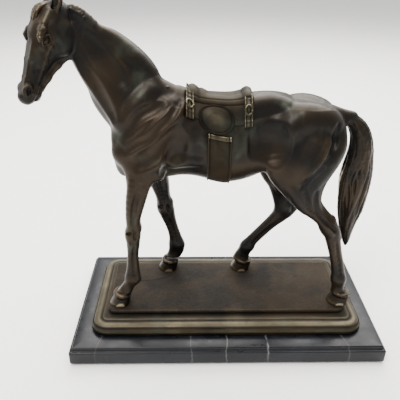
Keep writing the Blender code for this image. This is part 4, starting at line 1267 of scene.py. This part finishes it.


# Bronze colours from the deepest recess to the most rubbed edge; tops lightened by painted light from above
# also climb towards the light end
BODY_BRONZE = [
    (0.00, (0.002, 0.002, 0.002)),
    (0.30, (0.006, 0.005, 0.004)),
    (0.50, (0.015, 0.010, 0.005)),
    (0.70, (0.040, 0.029, 0.014)),
    (0.86, (0.095, 0.076, 0.040)),
    (1.00, (0.22, 0.19, 0.125)),
]
OLIVE_BRONZE = [
    (0.00, (0.003, 0.003, 0.002)),
    (0.30, (0.010, 0.009, 0.006)),
    (0.50, (0.026, 0.022, 0.014)),
    (0.70, (0.056, 0.048, 0.029)),
    (0.88, (0.115, 0.100, 0.063)),
    (1.00, (0.28, 0.245, 0.165)),
]


def bronze(name, colours, lift=0.0, verdigris=0.5, metal=0.55, stipple=0.0, dull=0.0):
    """Patinated bronze: dark in the recesses, warm between, olive and rubbed on edges; lighter on top,
    mostly painted light from above and partly dust.
    """
    paint = Paint(name)
    patches = paint.noise(26.0, 4.0, 0.6, warp=0.6)
    streaks = paint.noise(55.0, 3.0, 0.6, place=paint.scaled(1.0, 1.0, 0.35))
    pits = paint.noise(520.0, 3.0, 0.7)
    fine = paint.noise(1700.0, 2.0, 0.6)
    hollow = paint.times(paint.attribute("hollow"), 0.9)
    proud = paint.times(paint.math("MINIMUM", paint.attribute("proud"), 0.34), 0.75)
    # Painted light from above: surfaces that face up are lightened, mostly as painted top light and partly
    # as dust
    up = paint.times(paint.facing_up(), 0.20)
    level = paint.plus(paint.math("SUBTRACT", proud, hollow), up)
    for grain, weight in ((patches, 0.42), (streaks, 0.22), (pits, 0.12)):
        level = paint.plus(level, paint.times(grain, weight))
    level = paint.plus(level, 0.02 + lift, clamp=True)
    colour = paint.ramp(level, *colours)
    # Warm brown and green cast areas
    warm = paint.steps(paint.noise(17.0, 2.0, 0.5, warp=0.4), (0.46, 0.0), (0.64, 0.42))
    warm = paint.times(warm, paint.steps(level, (0.2, 1.0), (0.75, 0.0)))
    colour = paint.mix(warm, colour, (0.040, 0.024, 0.010))
    green = paint.steps(paint.noise(21.0, 3.0, 0.6, warp=0.8), (0.56, 0.0), (0.70, verdigris))
    colour = paint.mix(green, colour, (0.030, 0.036, 0.026))
    grain = paint.plus(level, paint.times(fine, 0.15))
    roughness = paint.steps(grain, (0.1, 0.55), (0.5, 0.40), (0.95, 0.28))
    roughness = paint.plus(roughness, dull)
    height = paint.plus(paint.times(pits, 0.7), paint.times(fine, 0.3 + stipple))
    paint.bump(height, 0.35, 0.00035)
    paint.shader.inputs["Specular IOR Level"].default_value = 0.22
    paint.shader.inputs["Coat Weight"].default_value = 0.0 if dull > 0.0 else 0.05
    paint.shader.inputs["Coat Roughness"].default_value = 0.22
    return paint.done(colour, roughness, metal)


def marble(name):
    """Black marble with a grey cloud here and there and a few thin white veins across it."""
    paint = Paint(name)
    x = paint.axis("X")
    wander = paint.noise(14.0, 5.0, 0.65)
    thin = paint.noise(60.0, 4.0, 0.6)
    total = None
    for at, lean, width, strength in VEINS:
        line = paint.plus(x, paint.times(paint.axis("Y"), lean))
        line = paint.math("SUBTRACT", line, at)
        for waver, reach in ((wander, 0.012), (thin, 0.004)):
            line = paint.plus(line, paint.times(paint.math("SUBTRACT", waver, 0.5), reach))
        away = paint.times(paint.math("ABSOLUTE", line), 1.0 / width)
        vein = paint.steps(away, (0.0, strength), (0.35, 0.35 * strength), (1.0, 0.0))
        total = vein if total is None else paint.math("MAXIMUM", total, vein)
    broken = paint.steps(paint.noise(45.0, 3.0, 0.6), (0.38, 0.15), (0.56, 1.0))
    total = paint.times(total, broken)
    cloud = paint.noise(9.0, 6.0, 0.62, warp=1.4)
    base = paint.ramp(cloud, *MARBLE_CLOUD)
    fleck = paint.steps(paint.noise(160.0, 4.0, 0.7), (0.62, 0.0), (0.78, 0.35))
    base = paint.mix(fleck, base, (0.05, 0.053, 0.06))
    colour = paint.mix(total, base, (0.20, 0.20, 0.20))
    roughness = paint.steps(paint.noise(80.0, 4.0, 0.6), (0.3, 0.24), (0.7, 0.42))
    paint.bump(paint.noise(260.0, 3.0, 0.6), 0.08, 0.0003)
    paint.shader.inputs["Specular IOR Level"].default_value = 0.22
    return paint.done(colour, roughness)


def felt(name):
    paint = Paint(name)
    fibres = paint.noise(900.0, 5.0, 0.8)
    colour = paint.ramp(fibres, (0.3, (0.010, 0.035, 0.018)), (0.7, (0.040, 0.105, 0.060)))
    paint.bump(fibres, 0.7, 0.0006)
    return paint.done(colour, paint.steps(fibres, (0.3, 0.85), (0.7, 1.0)))


def steel(name):
    paint = Paint(name)
    brushed = paint.noise(400.0, 4.0, 0.7, place=paint.scaled(1.0, 1.0, 0.1))
    stain = paint.noise(90.0, 3.0, 0.6)
    grey, pale, rusty = (0.30, 0.30, 0.30), (0.50, 0.50, 0.51), (0.38, 0.33, 0.26)
    colour = paint.ramp(stain, (0.3, grey), (0.6, pale), (0.8, rusty))
    paint.bump(brushed, 0.2, 0.0002)
    return paint.done(colour, paint.steps(brushed, (0.3, 0.30), (0.7, 0.52)), 1.0)


def paper(name):
    paint = Paint(name)
    weave = paint.noise(30.0, 4.0, 0.6)
    colour = paint.ramp(weave, (0.3, (0.96, 0.955, 0.95)), (0.7, (0.99, 0.985, 0.98)))
    return paint.done(colour, 0.9)


# ---------------------------------------------------------------- stage, light, camera


def make_stage():
    mesh = bpy.data.meshes.new("floor")
    size = 6.0
    corners = [(-size, -size, 0), (size, -size, 0), (size, size, 0), (-size, size, 0)]
    mesh.from_pydata(corners, [], [(0, 1, 2, 3)])
    floor = put_in("floor", mesh)
    mesh.materials.append(paper("floor_paper"))
    world = bpy.data.worlds.new("studio")
    world.use_nodes = True
    background = world.node_tree.nodes["Background"].inputs
    background["Color"].default_value = (1.0, 0.985, 0.97, 1.0)
    background["Strength"].default_value = 1.0
    bpy.context.scene.world = world


LIGHT_COLOUR = (1.0, 0.97, 0.93)
# Lights: name, place and target in metres, size in metres, power in watts
LIGHTS = [
    ("key", (-0.45, -0.50, 1.30), (0.0, 0.0, 0.2), 0.6, 18.0),
    ("window", (0.15, 0.75, 1.5), (0.0, 0.1, 0.24), 1.8, 100.0),
    ("side", (-1.1, 0.1, 0.7), (-0.1, 0.0, 0.25), 0.6, 6.0),
]
# The camera's place in millimetres, the way it looks, the way to its right, and its lens
CAMERA_AT = (-39.17, -457.55, 403.94)
CAMERA_LOOKS = (0.01804855, 0.87832613, -0.47772112)
CAMERA_RIGHT = (0.99983589, -0.01660113, 0.0072519)
CAMERA_LENS = 43.2
CAMERA_SENSOR = 36.0


def area_light(name, location, target, size, power):
    light = bpy.data.lights.new(name, "AREA")
    light.shape = "SQUARE"
    light.size = size
    light.energy = power
    light.color = LIGHT_COLOUR
    item = put_in(name, light)
    item.location = location
    item.rotation_euler = (Vector(target) - Vector(location)).to_track_quat("-Z", "Y").to_euler()


def make_camera():
    data = bpy.data.cameras.new("camera")
    data.sensor_width = CAMERA_SENSOR
    data.lens = CAMERA_LENS
    camera = put_in("camera", data)
    right = Vector(CAMERA_RIGHT)
    back = -Vector(CAMERA_LOOKS)
    up = back.cross(right)
    turn = Matrix((right, up, back)).transposed().to_4x4()
    camera.matrix_world = Matrix.Translation(Vector(CAMERA_AT) * MM) @ turn
    bpy.context.scene.camera = camera


# ---------------------------------------------------------------- the horse's castings


def plane_height(point, normal):
    point = np.asarray(point, dtype=np.float64)
    normal = unit(normal)
    return lambda p: (p - point) @ normal


NECK_BASE = plane_height((-56.0, 0.0, 281.0), (-43.0, 0.0, 61.0))
NECK_TOP = plane_height((-141.0, 0.0, 325.0), (-0.933, 0.0, 0.36))
HEAD_LINE = -100.0
# The neck is in front of this x, the fore legs in front of the other, and both cuts above this z
NECK_LINE = -50
LEGS_LINE = -20
NECK_ABOVE = 230


def is_head(c):
    return (NECK_TOP(c) > 0) & (c[:, 0] < HEAD_LINE) & (c[:, 2] > NECK_ABOVE)


def is_neck(c):
    return (NECK_BASE(c) > 0) & (c[:, 0] < NECK_LINE) & ~is_head(c)


def is_tail(c):
    return (c[:, 0] > TAIL_JOINT) & ((c[:, 2] > 150) | (np.abs(c[:, 1] - MIDDLE) < 14))


def leg_test(fore, side):
    joint = FORE_JOINT if fore else HIND_JOINT

    def test(c):
        end = (c[:, 0] < LEGS_LINE) if fore else (c[:, 0] > LEGS_LINE)
        return (c[:, 2] < joint) & end & (side * (c[:, 1] - MIDDLE) > 0) & ~is_tail(c)

    return test


def build_castings(material, hair_material):
    field = Field((-162.0, -46.0, 36.0), (160.0, 54.0, 352.0), GRID)
    horse(field)
    skin = skin_of(field)
    skin.split(lambda c: (c[:, 0] < HEAD_LINE) & (c[:, 2] > NECK_ABOVE), NECK_TOP)
    skin.split(lambda c: (c[:, 0] < NECK_LINE) & (c[:, 2] > NECK_ABOVE), NECK_BASE)
    skin.split(lambda c: c[:, 2] > 80, lambda p: p[:, 0] - TAIL_JOINT)
    skin.split(lambda c: (c[:, 0] < LEGS_LINE) & (c[:, 2] < 200), lambda p: p[:, 2] - FORE_JOINT)
    skin.split(lambda c: (c[:, 0] > LEGS_LINE) & ~is_tail(c), lambda p: p[:, 2] - HIND_JOINT)
    tests = {
        "neck_casting": is_neck,
        "tail_casting": is_tail,
        "near_fore_leg": leg_test(True, -1.0),
        "far_fore_leg": leg_test(True, 1.0),
        "near_hind_leg": leg_test(False, -1.0),
        "far_hind_leg": leg_test(False, 1.0),
    }

    def is_trunk(c):
        taken = is_head(c)
        for test in tests.values():
            taken = taken | test(c)
        return ~taken

    for node, test in list(tests.items()) + [("trunk_casting", is_trunk)]:
        finish = hair_material if node == "tail_casting" else material
        keep(mesh_object(node + "_look", *skin.part(test)), finish, "bronze_patina", node)
    fine = Field((-212.0, -58.0, 254.0), (-126.0, 34.0, 384.0), HEAD_GRID)
    horse(fine)
    head = skin_of(fine)
    head.split(lambda c: c[:, 0] < HEAD_LINE, NECK_TOP)
    keep(mesh_object("head_casting_look", *head.part(is_head)), material, "bronze_patina", "head_casting")
    return field


# ---------------------------------------------------------------- saddle


class Wrapping:
    """Places things on the horse's sides: x along it, an angle round it from the spine."""

    def __init__(self, field):
        self.field = field

    def points(self, x, angle, offset):
        """World points standing off the skin. All three may be arrays of one shape."""
        x, angle, offset = np.broadcast_arrays(x, angle, offset)
        shape = x.shape
        curve = table_curve(BARREL, x.ravel())
        top, bottom, half_width = curve[:, 0], curve[:, 1], curve[:, 2]
        half_height = (top - bottom) / 2.0
        across = np.sin(angle.ravel())
        rise = np.cos(angle.ravel())
        level = (top + bottom) / 2.0 + half_height * rise
        start = np.stack([x.ravel(), MIDDLE + half_width * across, level], 1)
        normal = np.stack([np.zeros(len(across)), across / half_width, rise / half_height], 1)
        normal /= np.linalg.norm(normal, axis=1, keepdims=True)
        rise_to = np.zeros(len(across))
        for _ in range(6):
            rise_to -= sample(self.field, start + normal * rise_to[:, None])
        place = start + normal * (rise_to + offset.ravel())[:, None]
        return place.reshape(shape + (3,))


def grid_mesh(name, sheet, closed_v=False, thick=None, tags=None):
    """A mesh from a grid of points. thick is a matching grid of inner points, closed at the rim."""
    nu, nv = sheet.shape[:2]
    number = np.arange(nu * nv).reshape(nu, nv)
    faces = []
    for i in range(nu - 1):
        for j in range(nv if closed_v else nv - 1):
            k = (j + 1) % nv
            faces.append((number[i, j], number[i + 1, j], number[i + 1, k], number[i, k]))
    points = sheet.reshape(-1, 3)
    if thick is not None:
        base = nu * nv
        faces += [tuple(base + k for k in reversed(f)) for f in faces]
        rim = [(i, 0) for i in range(nu)] + [(nu - 1, j) for j in range(1, nv)]
        rim += [(i, nv - 1) for i in range(nu - 2, -1, -1)] + [(0, j) for j in range(nv - 2, 0, -1)]
        for (i, j), (k, m) in zip(rim, rim[1:] + rim[:1]):
            faces.append((number[k, m], number[i, j], base + number[i, j], base + number[k, m]))
        points = np.vstack([points, thick.reshape(-1, 3)])
    mesh = bpy.data.meshes.new(name)
    mesh.from_pydata((points * MM).tolist(), [], [[int(k) for k in face] for face in faces])
    mesh.update()
    shape = bmesh.new()
    shape.from_mesh(mesh)
    bmesh.ops.recalc_face_normals(shape, faces=shape.faces)
    shape.to_mesh(mesh)
    shape.free()
    mesh.shade_smooth()
    for label in ("hollow", "proud"):
        values = np.zeros(len(points))
        if tags is not None:
            values[: nu * nv] = tags[label].ravel()
        add_layer(mesh, label, values)
    return put_in(name, mesh)


def pipe(name, path, radius, sides=10):
    """A round bar along a path of points."""
    path = np.asarray(path)
    along = np.gradient(path, axis=0)
    along /= np.linalg.norm(along, axis=1, keepdims=True)
    first = unit(np.cross(along[0], vec(0.3, 0.2, 0.9)))
    rings = []
    turns = np.linspace(0, 2 * math.pi, sides, endpoint=False)
    for point, way in zip(path, along):
        first = unit(first - way * (first @ way))
        second = np.cross(way, first)
        rings.append([point + radius * (first * math.cos(a) + second * math.sin(a)) for a in turns])
    rings = [[path[0]] * sides] + rings + [[path[-1]] * sides]
    return grid_mesh(name, np.array(rings), closed_v=True)


def hump(value, centre, width):
    """A smooth rise of height 1 at centre."""
    return np.exp(-(((value - centre) / width) ** 2))


def edge_profile(distance, width, height):
    """Height of a rounded edge: 0 at the rim, full from width inward."""
    t = np.clip(distance / width, 0.0, 1.0)
    return height * np.sqrt(1.0 - (1.0 - t) ** 2)


# Radius of the trunk in millimetres, to turn an angle round it into a length
ROUND_THE_TRUNK = 36.0


def strap_sheet(wrapping, name, x_range, angle_range, base, height, bead, nx, na, rows=()):
    """A strap round the horse with rounded edges and a raised bead along both sides.

    Ranges are of x in millimetres and of degrees from the spine, and base and height stand off the
    skin. rows are the angles of small folds across the strap.
    """
    x = np.linspace(x_range[0], x_range[1], nx)[:, None]
    angle = np.radians(np.linspace(angle_range[0], angle_range[1], na))[None, :]
    half = (x_range[1] - x_range[0]) / 2.0
    from_side = half - np.abs(x - (x_range[0] + x_range[1]) / 2.0)
    from_end = np.minimum(angle - angle.min(), angle.max() - angle) * ROUND_THE_TRUNK
    rim = np.minimum(from_side, from_end)
    rise = edge_profile(rim, 0.9, height)
    groove = hump(from_side, 2.3, 0.55)
    bead_line = hump(from_side, 1.1, 0.7)
    rise = rise + bead * bead_line - 0.8 * bead * groove + 0.0 * angle
    for at in rows:
        rise = rise + 0.5 * np.exp(-(((angle - math.radians(at)) * ROUND_THE_TRUNK / 0.8) ** 2))
    outer = wrapping.points(x, angle, base + rise)
    inner = wrapping.points(x, angle, base - 0.5 + 0.0 * rise)
    tags = {"hollow": 0.5 * groove + 0.0 * angle, "proud": 0.35 * bead_line + 0.0 * angle}
    return grid_mesh(name, outer, thick=inner, tags=tags)


# Straps of the saddle: name, front and rear x, top and bottom in degrees from the spine
STRAPS = (("front", -43.5, -37.0, 6.0, 55.0), ("rear", 12.0, 19.0, 12.0, 57.0))
DEE_RADIUS = 3.3


def build_saddle(field, leather, rubbed, metal):
    wrapping = Wrapping(field)
    low, high = node_box("saddle_pad")
    # Saddle cloth
    pad = strap_sheet(wrapping, "saddle_pad_look", (low[0], high[0]), (-53, 53), 0.2, 1.3, 0.35, 60, 100)
    keep(pad, leather, "saddle_bronze", "saddle_pad")
    # Seat: a roll at the pommel, a dip, and a roll at the cantle
    front, rear = SEAT[0][0], SEAT[-1][0]
    x = np.linspace(front, rear, 90)[:, None]
    angle = np.radians(np.linspace(-SEAT_ANGLE, SEAT_ANGLE, 70))[None, :]
    profile = table_curve(SEAT, x[:, 0])
    spread = np.abs(angle) / math.radians(SEAT_ANGLE)
    crown = np.sqrt(np.clip(1.0 - spread**2.6, 0.0, 1.0))
    ends = np.clip(np.minimum(x - front, rear - x) / 2.2, 0.0, 1.0)
    rolls = hump(x, -38.0, 3.4) + 0.9 * hump(x, 15.5, 3.4)
    dent = -0.9 * hump(x, -31.5, 1.5) - 0.6 * hump(x, 9.5, 1.4)
    seam = -0.5 * hump(spread, 0.72, 0.04)
    rise = (profile - 1.5) * crown * np.sqrt(1 - (1 - ends) ** 2) + (rolls + dent) * crown + seam
    outer = wrapping.points(x, angle, 1.2 + np.maximum(rise, 0.0))
    inner = wrapping.points(x, angle, 0.9 + 0.0 * rise)
    tags = {
        "hollow": -0.25 * dent + 0.8 * np.clip(spread - 0.9, 0, 1) * 4 - 0.8 * seam,
        "proud": 0.06 * rolls + 0.12 * crown,
    }
    seat = grid_mesh("saddle_seat_look", outer, thick=inner, tags=tags)
    keep(seat, leather, "saddle_bronze", "saddle_seat")
    for side, word in SIDES:
        # Flap: an oval, padded inside a raised welt
        turn = np.linspace(0.0, 2.0 * math.pi, 96, endpoint=False)[None, :]
        reach = np.linspace(0.0, 1.0, 34)[:, None]
        half_long, half_degrees = 17.4, 20.0
        unit_r = 1.0 / oval(np.cos(turn), np.sin(turn), 2.3)
        px = -15.0 + half_long * reach * unit_r * np.cos(turn)
        pa = side * np.radians(46.5 + half_degrees * reach * unit_r * np.sin(turn))
        rim = (1.0 - reach) * 15.0
        padding = 1.7 * np.clip((rim - 2.6) / 6.0, 0, 1) ** 0.6
        rise = edge_profile(rim, 0.7, 1.0) + 0.3 * hump(rim, 1.0, 0.7)
        rise = rise - 0.5 * hump(rim, 2.3, 0.6) + padding
        knee = hump(px, -22.0, 4.5) * hump(np.degrees(np.abs(pa)), 44.0, 9.0)
        rise = rise + 1.3 * knee + 0.0 * px
        outer = wrapping.points(px, pa, 1.5 + rise)
        skirt = wrapping.points(px[-1:], pa[-1:], 0.8)
        sheet = np.concatenate([outer, skirt])
        plain = 0.0 * px
        padded = 0.25 * np.clip((rim - 5.0) / 6.0, 0, 1)
        shade = {
            "hollow": np.concatenate([hump(rim, 1.4, 1.5) + plain, 1.0 + plain[-1:]]),
            "proud": np.concatenate([padded + plain, plain[-1:]]),
        }
        flap = grid_mesh(word + "_flap_look", sheet, closed_v=True, tags=shade)
        keep(flap, leather, "saddle_bronze", word + "_saddle_flap")
        # Straps at the front and the rear: thick rolls with folds, each with a dee ring
        for place, x0, x1, top, bottom in STRAPS:
            folds = [side * (top + (bottom - top) * share) for share in (0.22, 0.36, 0.5, 0.66, 0.82)]
            span = sorted((side * top, side * bottom))
            name = word + "_" + place
            look = name + "_strap_look"
            strap = strap_sheet(wrapping, look, (x0 - 0.8, x1 + 0.8), span, 1.5, 2.9, 0.7, 19, 60, folds)
            keep(strap, rubbed, "saddle_bronze", name + "_strap")
            ring = np.linspace(0, 2 * math.pi, 28)
            around = side * (np.radians(35.0) + DEE_RADIUS * np.sin(ring) / ROUND_THE_TRUNK)
            dee = wrapping.points((x0 + x1) / 2.0 + DEE_RADIUS * np.cos(ring), around, 5.0)
            keep(pipe(name + "_dee_look", dee, 1.15), metal, "rubbed_brass", name + "_dee")
    # Girth, with its edges bound and a buckle at the top of each side
    around = (69.0, 291.0)
    girth = strap_sheet(wrapping, "girth_look", (-23.5, 0.5), around, 0.0, 1.3, 0.75, 41, 120, (80.0, 280.0))
    keep(girth, leather, "saddle_bronze", "girth_strap")
    for side, word in SIDES:
        span = sorted((side * 67.5, side * 74.0))
        buckle = strap_sheet(wrapping, word + "_buckle_look", (-23.0, 0.0), span, 1.5, 1.3, 0.5, 41, 15)
        keep(buckle, metal, "rubbed_brass", word + "_girth_buckle")


# ---------------------------------------------------------------- base


def value_noise(shape, cell, dice):
    """Smooth random heights over a grid, one value for each cell."""
    nu, nv = (int(math.ceil(n / cell)) + 3 for n in shape)
    values = dice.uniform(-1.0, 1.0, (nu, nv))
    u = np.arange(shape[0]) / cell
    v = np.arange(shape[1]) / cell
    iu, iv = u.astype(int), v.astype(int)
    fu, fv = u - iu, v - iv
    fu, fv = fu * fu * (3 - 2 * fu), fv * fv * (3 - 2 * fv)
    a = values[iu][:, iv] * (1 - fv) + values[iu][:, iv + 1] * fv
    b = values[iu + 1][:, iv] * (1 - fv) + values[iu + 1][:, iv + 1] * fv
    return a * (1 - fu)[:, None] + b * fu[:, None]


def build_ground(material):
    """The ground: stippled earth with a low mound, over the height of the plate."""
    low, high = node_box("ground_plate")
    step = 0.75
    nx = int((high[0] - low[0]) / step)
    ny = int((high[1] - low[1]) / step)
    x = np.linspace(low[0], high[0], nx)[:, None]
    y = np.linspace(low[1], high[1], ny)[None, :]
    dice = np.random.default_rng(11)
    stipple = value_noise((nx, ny), 1.4, dice) * 0.20 + value_noise((nx, ny), 3.1, dice) * 0.14
    swell_height = value_noise((nx, ny), 26.0, dice) * 0.45
    mound = 1.6 * np.exp(-(((x + 92.0) / 30.0) ** 2 + ((y - 34.0) / 9.0) ** 2))
    arc = np.hypot((x + 96.0) / 1.5, y - 30.0)
    ridge = 0.9 * hump(arc, 21.0, 1.6) * (y > 4.0) * (x > -120.0)
    half_x, half_y = (high[:2] - low[:2]) / 2.0
    centre_x, centre_y = (low[:2] + high[:2]) / 2.0
    off_x, off_y = np.abs(x - centre_x), np.abs(y - centre_y)
    from_edge = np.minimum(half_x - off_x, half_y - off_y)
    calm = np.clip(from_edge / 4.0, 0.0, 1.0)
    flat = np.ones((nx, ny))
    for toe, heel, lateral, half_width in HOOVES.values():
        away = np.hypot((x - (toe + heel) / 2.0) / 1.1, y - MIDDLE - lateral)
        flat = np.minimum(flat, np.clip((away - 8.0) / 8.0, 0.12, 1.0))
    height = (stipple + swell_height + mound + ridge) * calm * flat
    edge = edge_profile(from_edge, 1.4, 1.4) - 1.4
    z = high[2] + height + edge + 0.0 * x
    corner = 9.0
    # Points outside the rounded corners are drawn in to them
    gx = np.clip(off_x - (half_x - corner), 0.0, None) + 0.0 * y
    gy = np.clip(off_y - (half_y - corner), 0.0, None) + 0.0 * x
    both = np.hypot(gx, gy)
    pull = np.where(both > corner, corner / np.maximum(both, 1e-6), 1.0)
    px = np.sign(x - centre_x) * (np.minimum(off_x, half_x - corner) + gx * pull) + centre_x
    py = np.sign(y - centre_y) * (np.minimum(off_y, half_y - corner) + gy * pull) + centre_y
    top = np.stack([px, py, z], 2)
    bottom = np.stack([px, py, np.full_like(z, low[2])], 2)
    tags = {
        "hollow": np.clip(-0.55 * (stipple + 0.1), 0, 1),
        "proud": np.clip(0.55 * stipple, 0, 1) + 0.25 * (from_edge < 1.6),
    }
    keep(grid_mesh("ground_look", top, thick=bottom, tags=tags), material, "ground_bronze", "ground_plate")


def rounded_outline(half_x, half_y, corner, inset, per_corner, along):
    """Points of a rounded rectangle, drawn in by inset, with enough points along its sides."""
    corner = max(corner - inset, 0.4)
    half_x, half_y = half_x - inset, half_y - inset
    outline = []
    for cx, cy, start in ((1, 1, 0.0), (-1, 1, 90.0), (-1, -1, 180.0), (1, -1, 270.0)):
        for k in range(per_corner + 1):
            a = math.radians(start + 90.0 * k / per_corner)
            px = cx * (half_x - corner) + corner * math.cos(a)
            outline.append((px, cy * (half_y - corner) + corner * math.sin(a)))
    outline.append(outline[0])
    full = []
    for k, ((ax, ay), (bx, by)) in enumerate(zip(outline, outline[1:])):
        pieces = along if k % (per_corner + 1) == per_corner else 1
        full += [(ax + (bx - ax) * t / pieces, ay + (by - ay) * t / pieces) for t in range(pieces)]
    return full


def moulded(name, low, high, corner, profile, shades, wobble=0.0, top_steps=6, per_corner=14, along=40):
    """A moulded block: profile is (height, inset) from bottom to top, then flat to the middle.

    shades are two lists of (row, value): how hollow and how proud the rows of the profile are.
    """
    centre = (low + high) / 2.0
    half_x, half_y = (high[:2] - low[:2]) / 2.0
    dice = np.random.default_rng(5)
    rows = []
    worn = ([], [])
    top, last_inset = profile[-1]
    shares = [k / top_steps for k in range(1, top_steps + 1)]
    inner = [(top, last_inset + (half_y - last_inset) * share * 0.985) for share in shares]
    for n, (height, inset) in enumerate(list(profile) + inner):
        outline = rounded_outline(half_x, half_y, corner, inset, per_corner, along)
        ring = np.array([(centre[0] + px, centre[1] + py, low[2] + height) for px, py in outline])
        if wobble and 0 < n < len(profile):
            knots = np.linspace(0, len(ring), 60)
            ring[:, 2] += wobble * np.interp(np.arange(len(ring)), knots, dice.uniform(-1, 1, 60))
        rows.append(ring)
        for column, shade in zip(worn, shades):
            column.append(np.full(len(ring), np.interp(n, *zip(*shade)) if n < len(profile) else 0.0))
    # The underside runs in to a small hole at the middle
    base = rows[0].copy()
    base[:, :2] = centre[:2] + (base[:, :2] - centre[:2]) * 0.02
    tags = {label: np.array([column[0]] + column) for label, column in zip(("hollow", "proud"), worn)}
    return grid_mesh(name, np.array([base] + rows), closed_v=True, tags=tags)


def build_base(stone, brass):
    low, high = node_box("plinth_casting")
    height = high[2] - low[2]
    # Foot, swelling, fillet, hollow moulding and the rim round the ground, from bottom to top
    profile = [(0.0, 1.0), (0.4, 0.5), (0.9, 0.2), (1.4, 0.5), (1.9, 0.5)]
    for t in np.linspace(0.08, 1.0, 14):
        profile.append((1.9 + 5.4 * t, 0.5 - 0.5 * math.sin(math.pi * t) + 1.2 * t * t))
    profile += [(7.4, 2.4), (7.7, 2.9), (8.4, 3.1), (8.9, 3.6)]
    for t in np.linspace(0.1, 1.0, 10):
        profile.append((8.9 + 2.3 * math.sin(t * math.pi / 2), 3.6 + 7.4 * (1 - math.cos(t * math.pi / 2))))
    profile += [(11.25, 12.0), (11.6, 12.6), (12.1, 13.2)]
    profile += [(height - 0.25, 14.2), (height, 15.4), (height, 17.6)]
    count = len(profile)
    hollow = [(0, 0.6), (4, 0.5), (6, 0.0), (17, 0.0), (19, 0.55), (22, 0.1), (30, 0.0), (33, 0.55)]
    hollow += [(35, 0.1), (count, 0.75)]
    proud = [(0, 0.0), (5, 0.05), (10, 0.3), (16, 0.1), (20, 0.0), (24, 0.3), (30, 0.25), (33, 0.0)]
    proud += [(36, 0.3), (count, 0.0)]
    plinth = moulded("plinth_look", low, high, 20.0, profile, (hollow, proud), 0.06)
    keep(plinth, brass, "plinth_bronze", "plinth_casting")
    low, high = node_box("marble_slab")
    height = high[2] - low[2]
    profile = [(0.0, 1.1), (0.35, 0.5), (0.9, 0.15), (1.5, 0.0), (7.0, 0.0), (13.9, 0.0), (14.6, 0.1)]
    profile += [(15.2, 0.45), (15.5, 1.1), (15.5, 2.2), (15.6, 2.9), (15.9, 3.1), (17.5, 3.1), (18.6, 3.1)]
    profile += [(19.3, 3.4), (19.8, 4.0), (height, 4.8)]
    plain = [(0, 0.0), (len(profile), 0.0)]
    slab = moulded("slab_look", low, high, 1.6, profile, (plain, plain), 0.0, 8, 4, 30)
    keep(slab, stone, "black_marble", "marble_slab")


# ---------------------------------------------------------------- everything


def paint_the_rest(looks):
    """The CAD pieces that stay as they are: pins, studs, nuts, washers, bolts and the felt."""
    slots = {entry["node"]: entry["material_slot"] for entry in frame["record"]["subparts"]}
    for node, item in frame["nodes"].items():
        item.data.materials.clear()
        item.data.materials.append(looks[slots[node]])


make_stage()
for light in LIGHTS:
    area_light(*light)
make_camera()

looks = {
    "bronze_patina": bronze("horse_bronze", BODY_BRONZE, -0.12, 0.5),
    "saddle_bronze": bronze("saddle_bronze", OLIVE_BRONZE, -0.19, 0.35, dull=0.28),
    "plinth_bronze": bronze("plinth_bronze", OLIVE_BRONZE, -0.04, 0.25, dull=0.1),
    "ground_bronze": bronze("ground_bronze", BODY_BRONZE, -0.22, 0.15, 0.35, stipple=0.5, dull=0.3),
    "rubbed_brass": bronze("rubbed_bronze", OLIVE_BRONZE, 0.28, 0.1, 0.9),
    "black_marble": marble("black_marble"),
    "green_felt": felt("green_felt"),
    "zinc_steel": steel("zinc_steel"),
}
paint_the_rest(looks)
body = build_castings(looks["bronze_patina"], bronze("hair_bronze", BODY_BRONZE, -0.24, 0.3))
strap_bronze = bronze("strap_bronze", OLIVE_BRONZE, 0.04, 0.2, dull=0.1)
build_saddle(body, looks["saddle_bronze"], strap_bronze, looks["rubbed_brass"])
build_ground(looks["ground_bronze"])
build_base(looks["black_marble"], looks["plinth_bronze"])
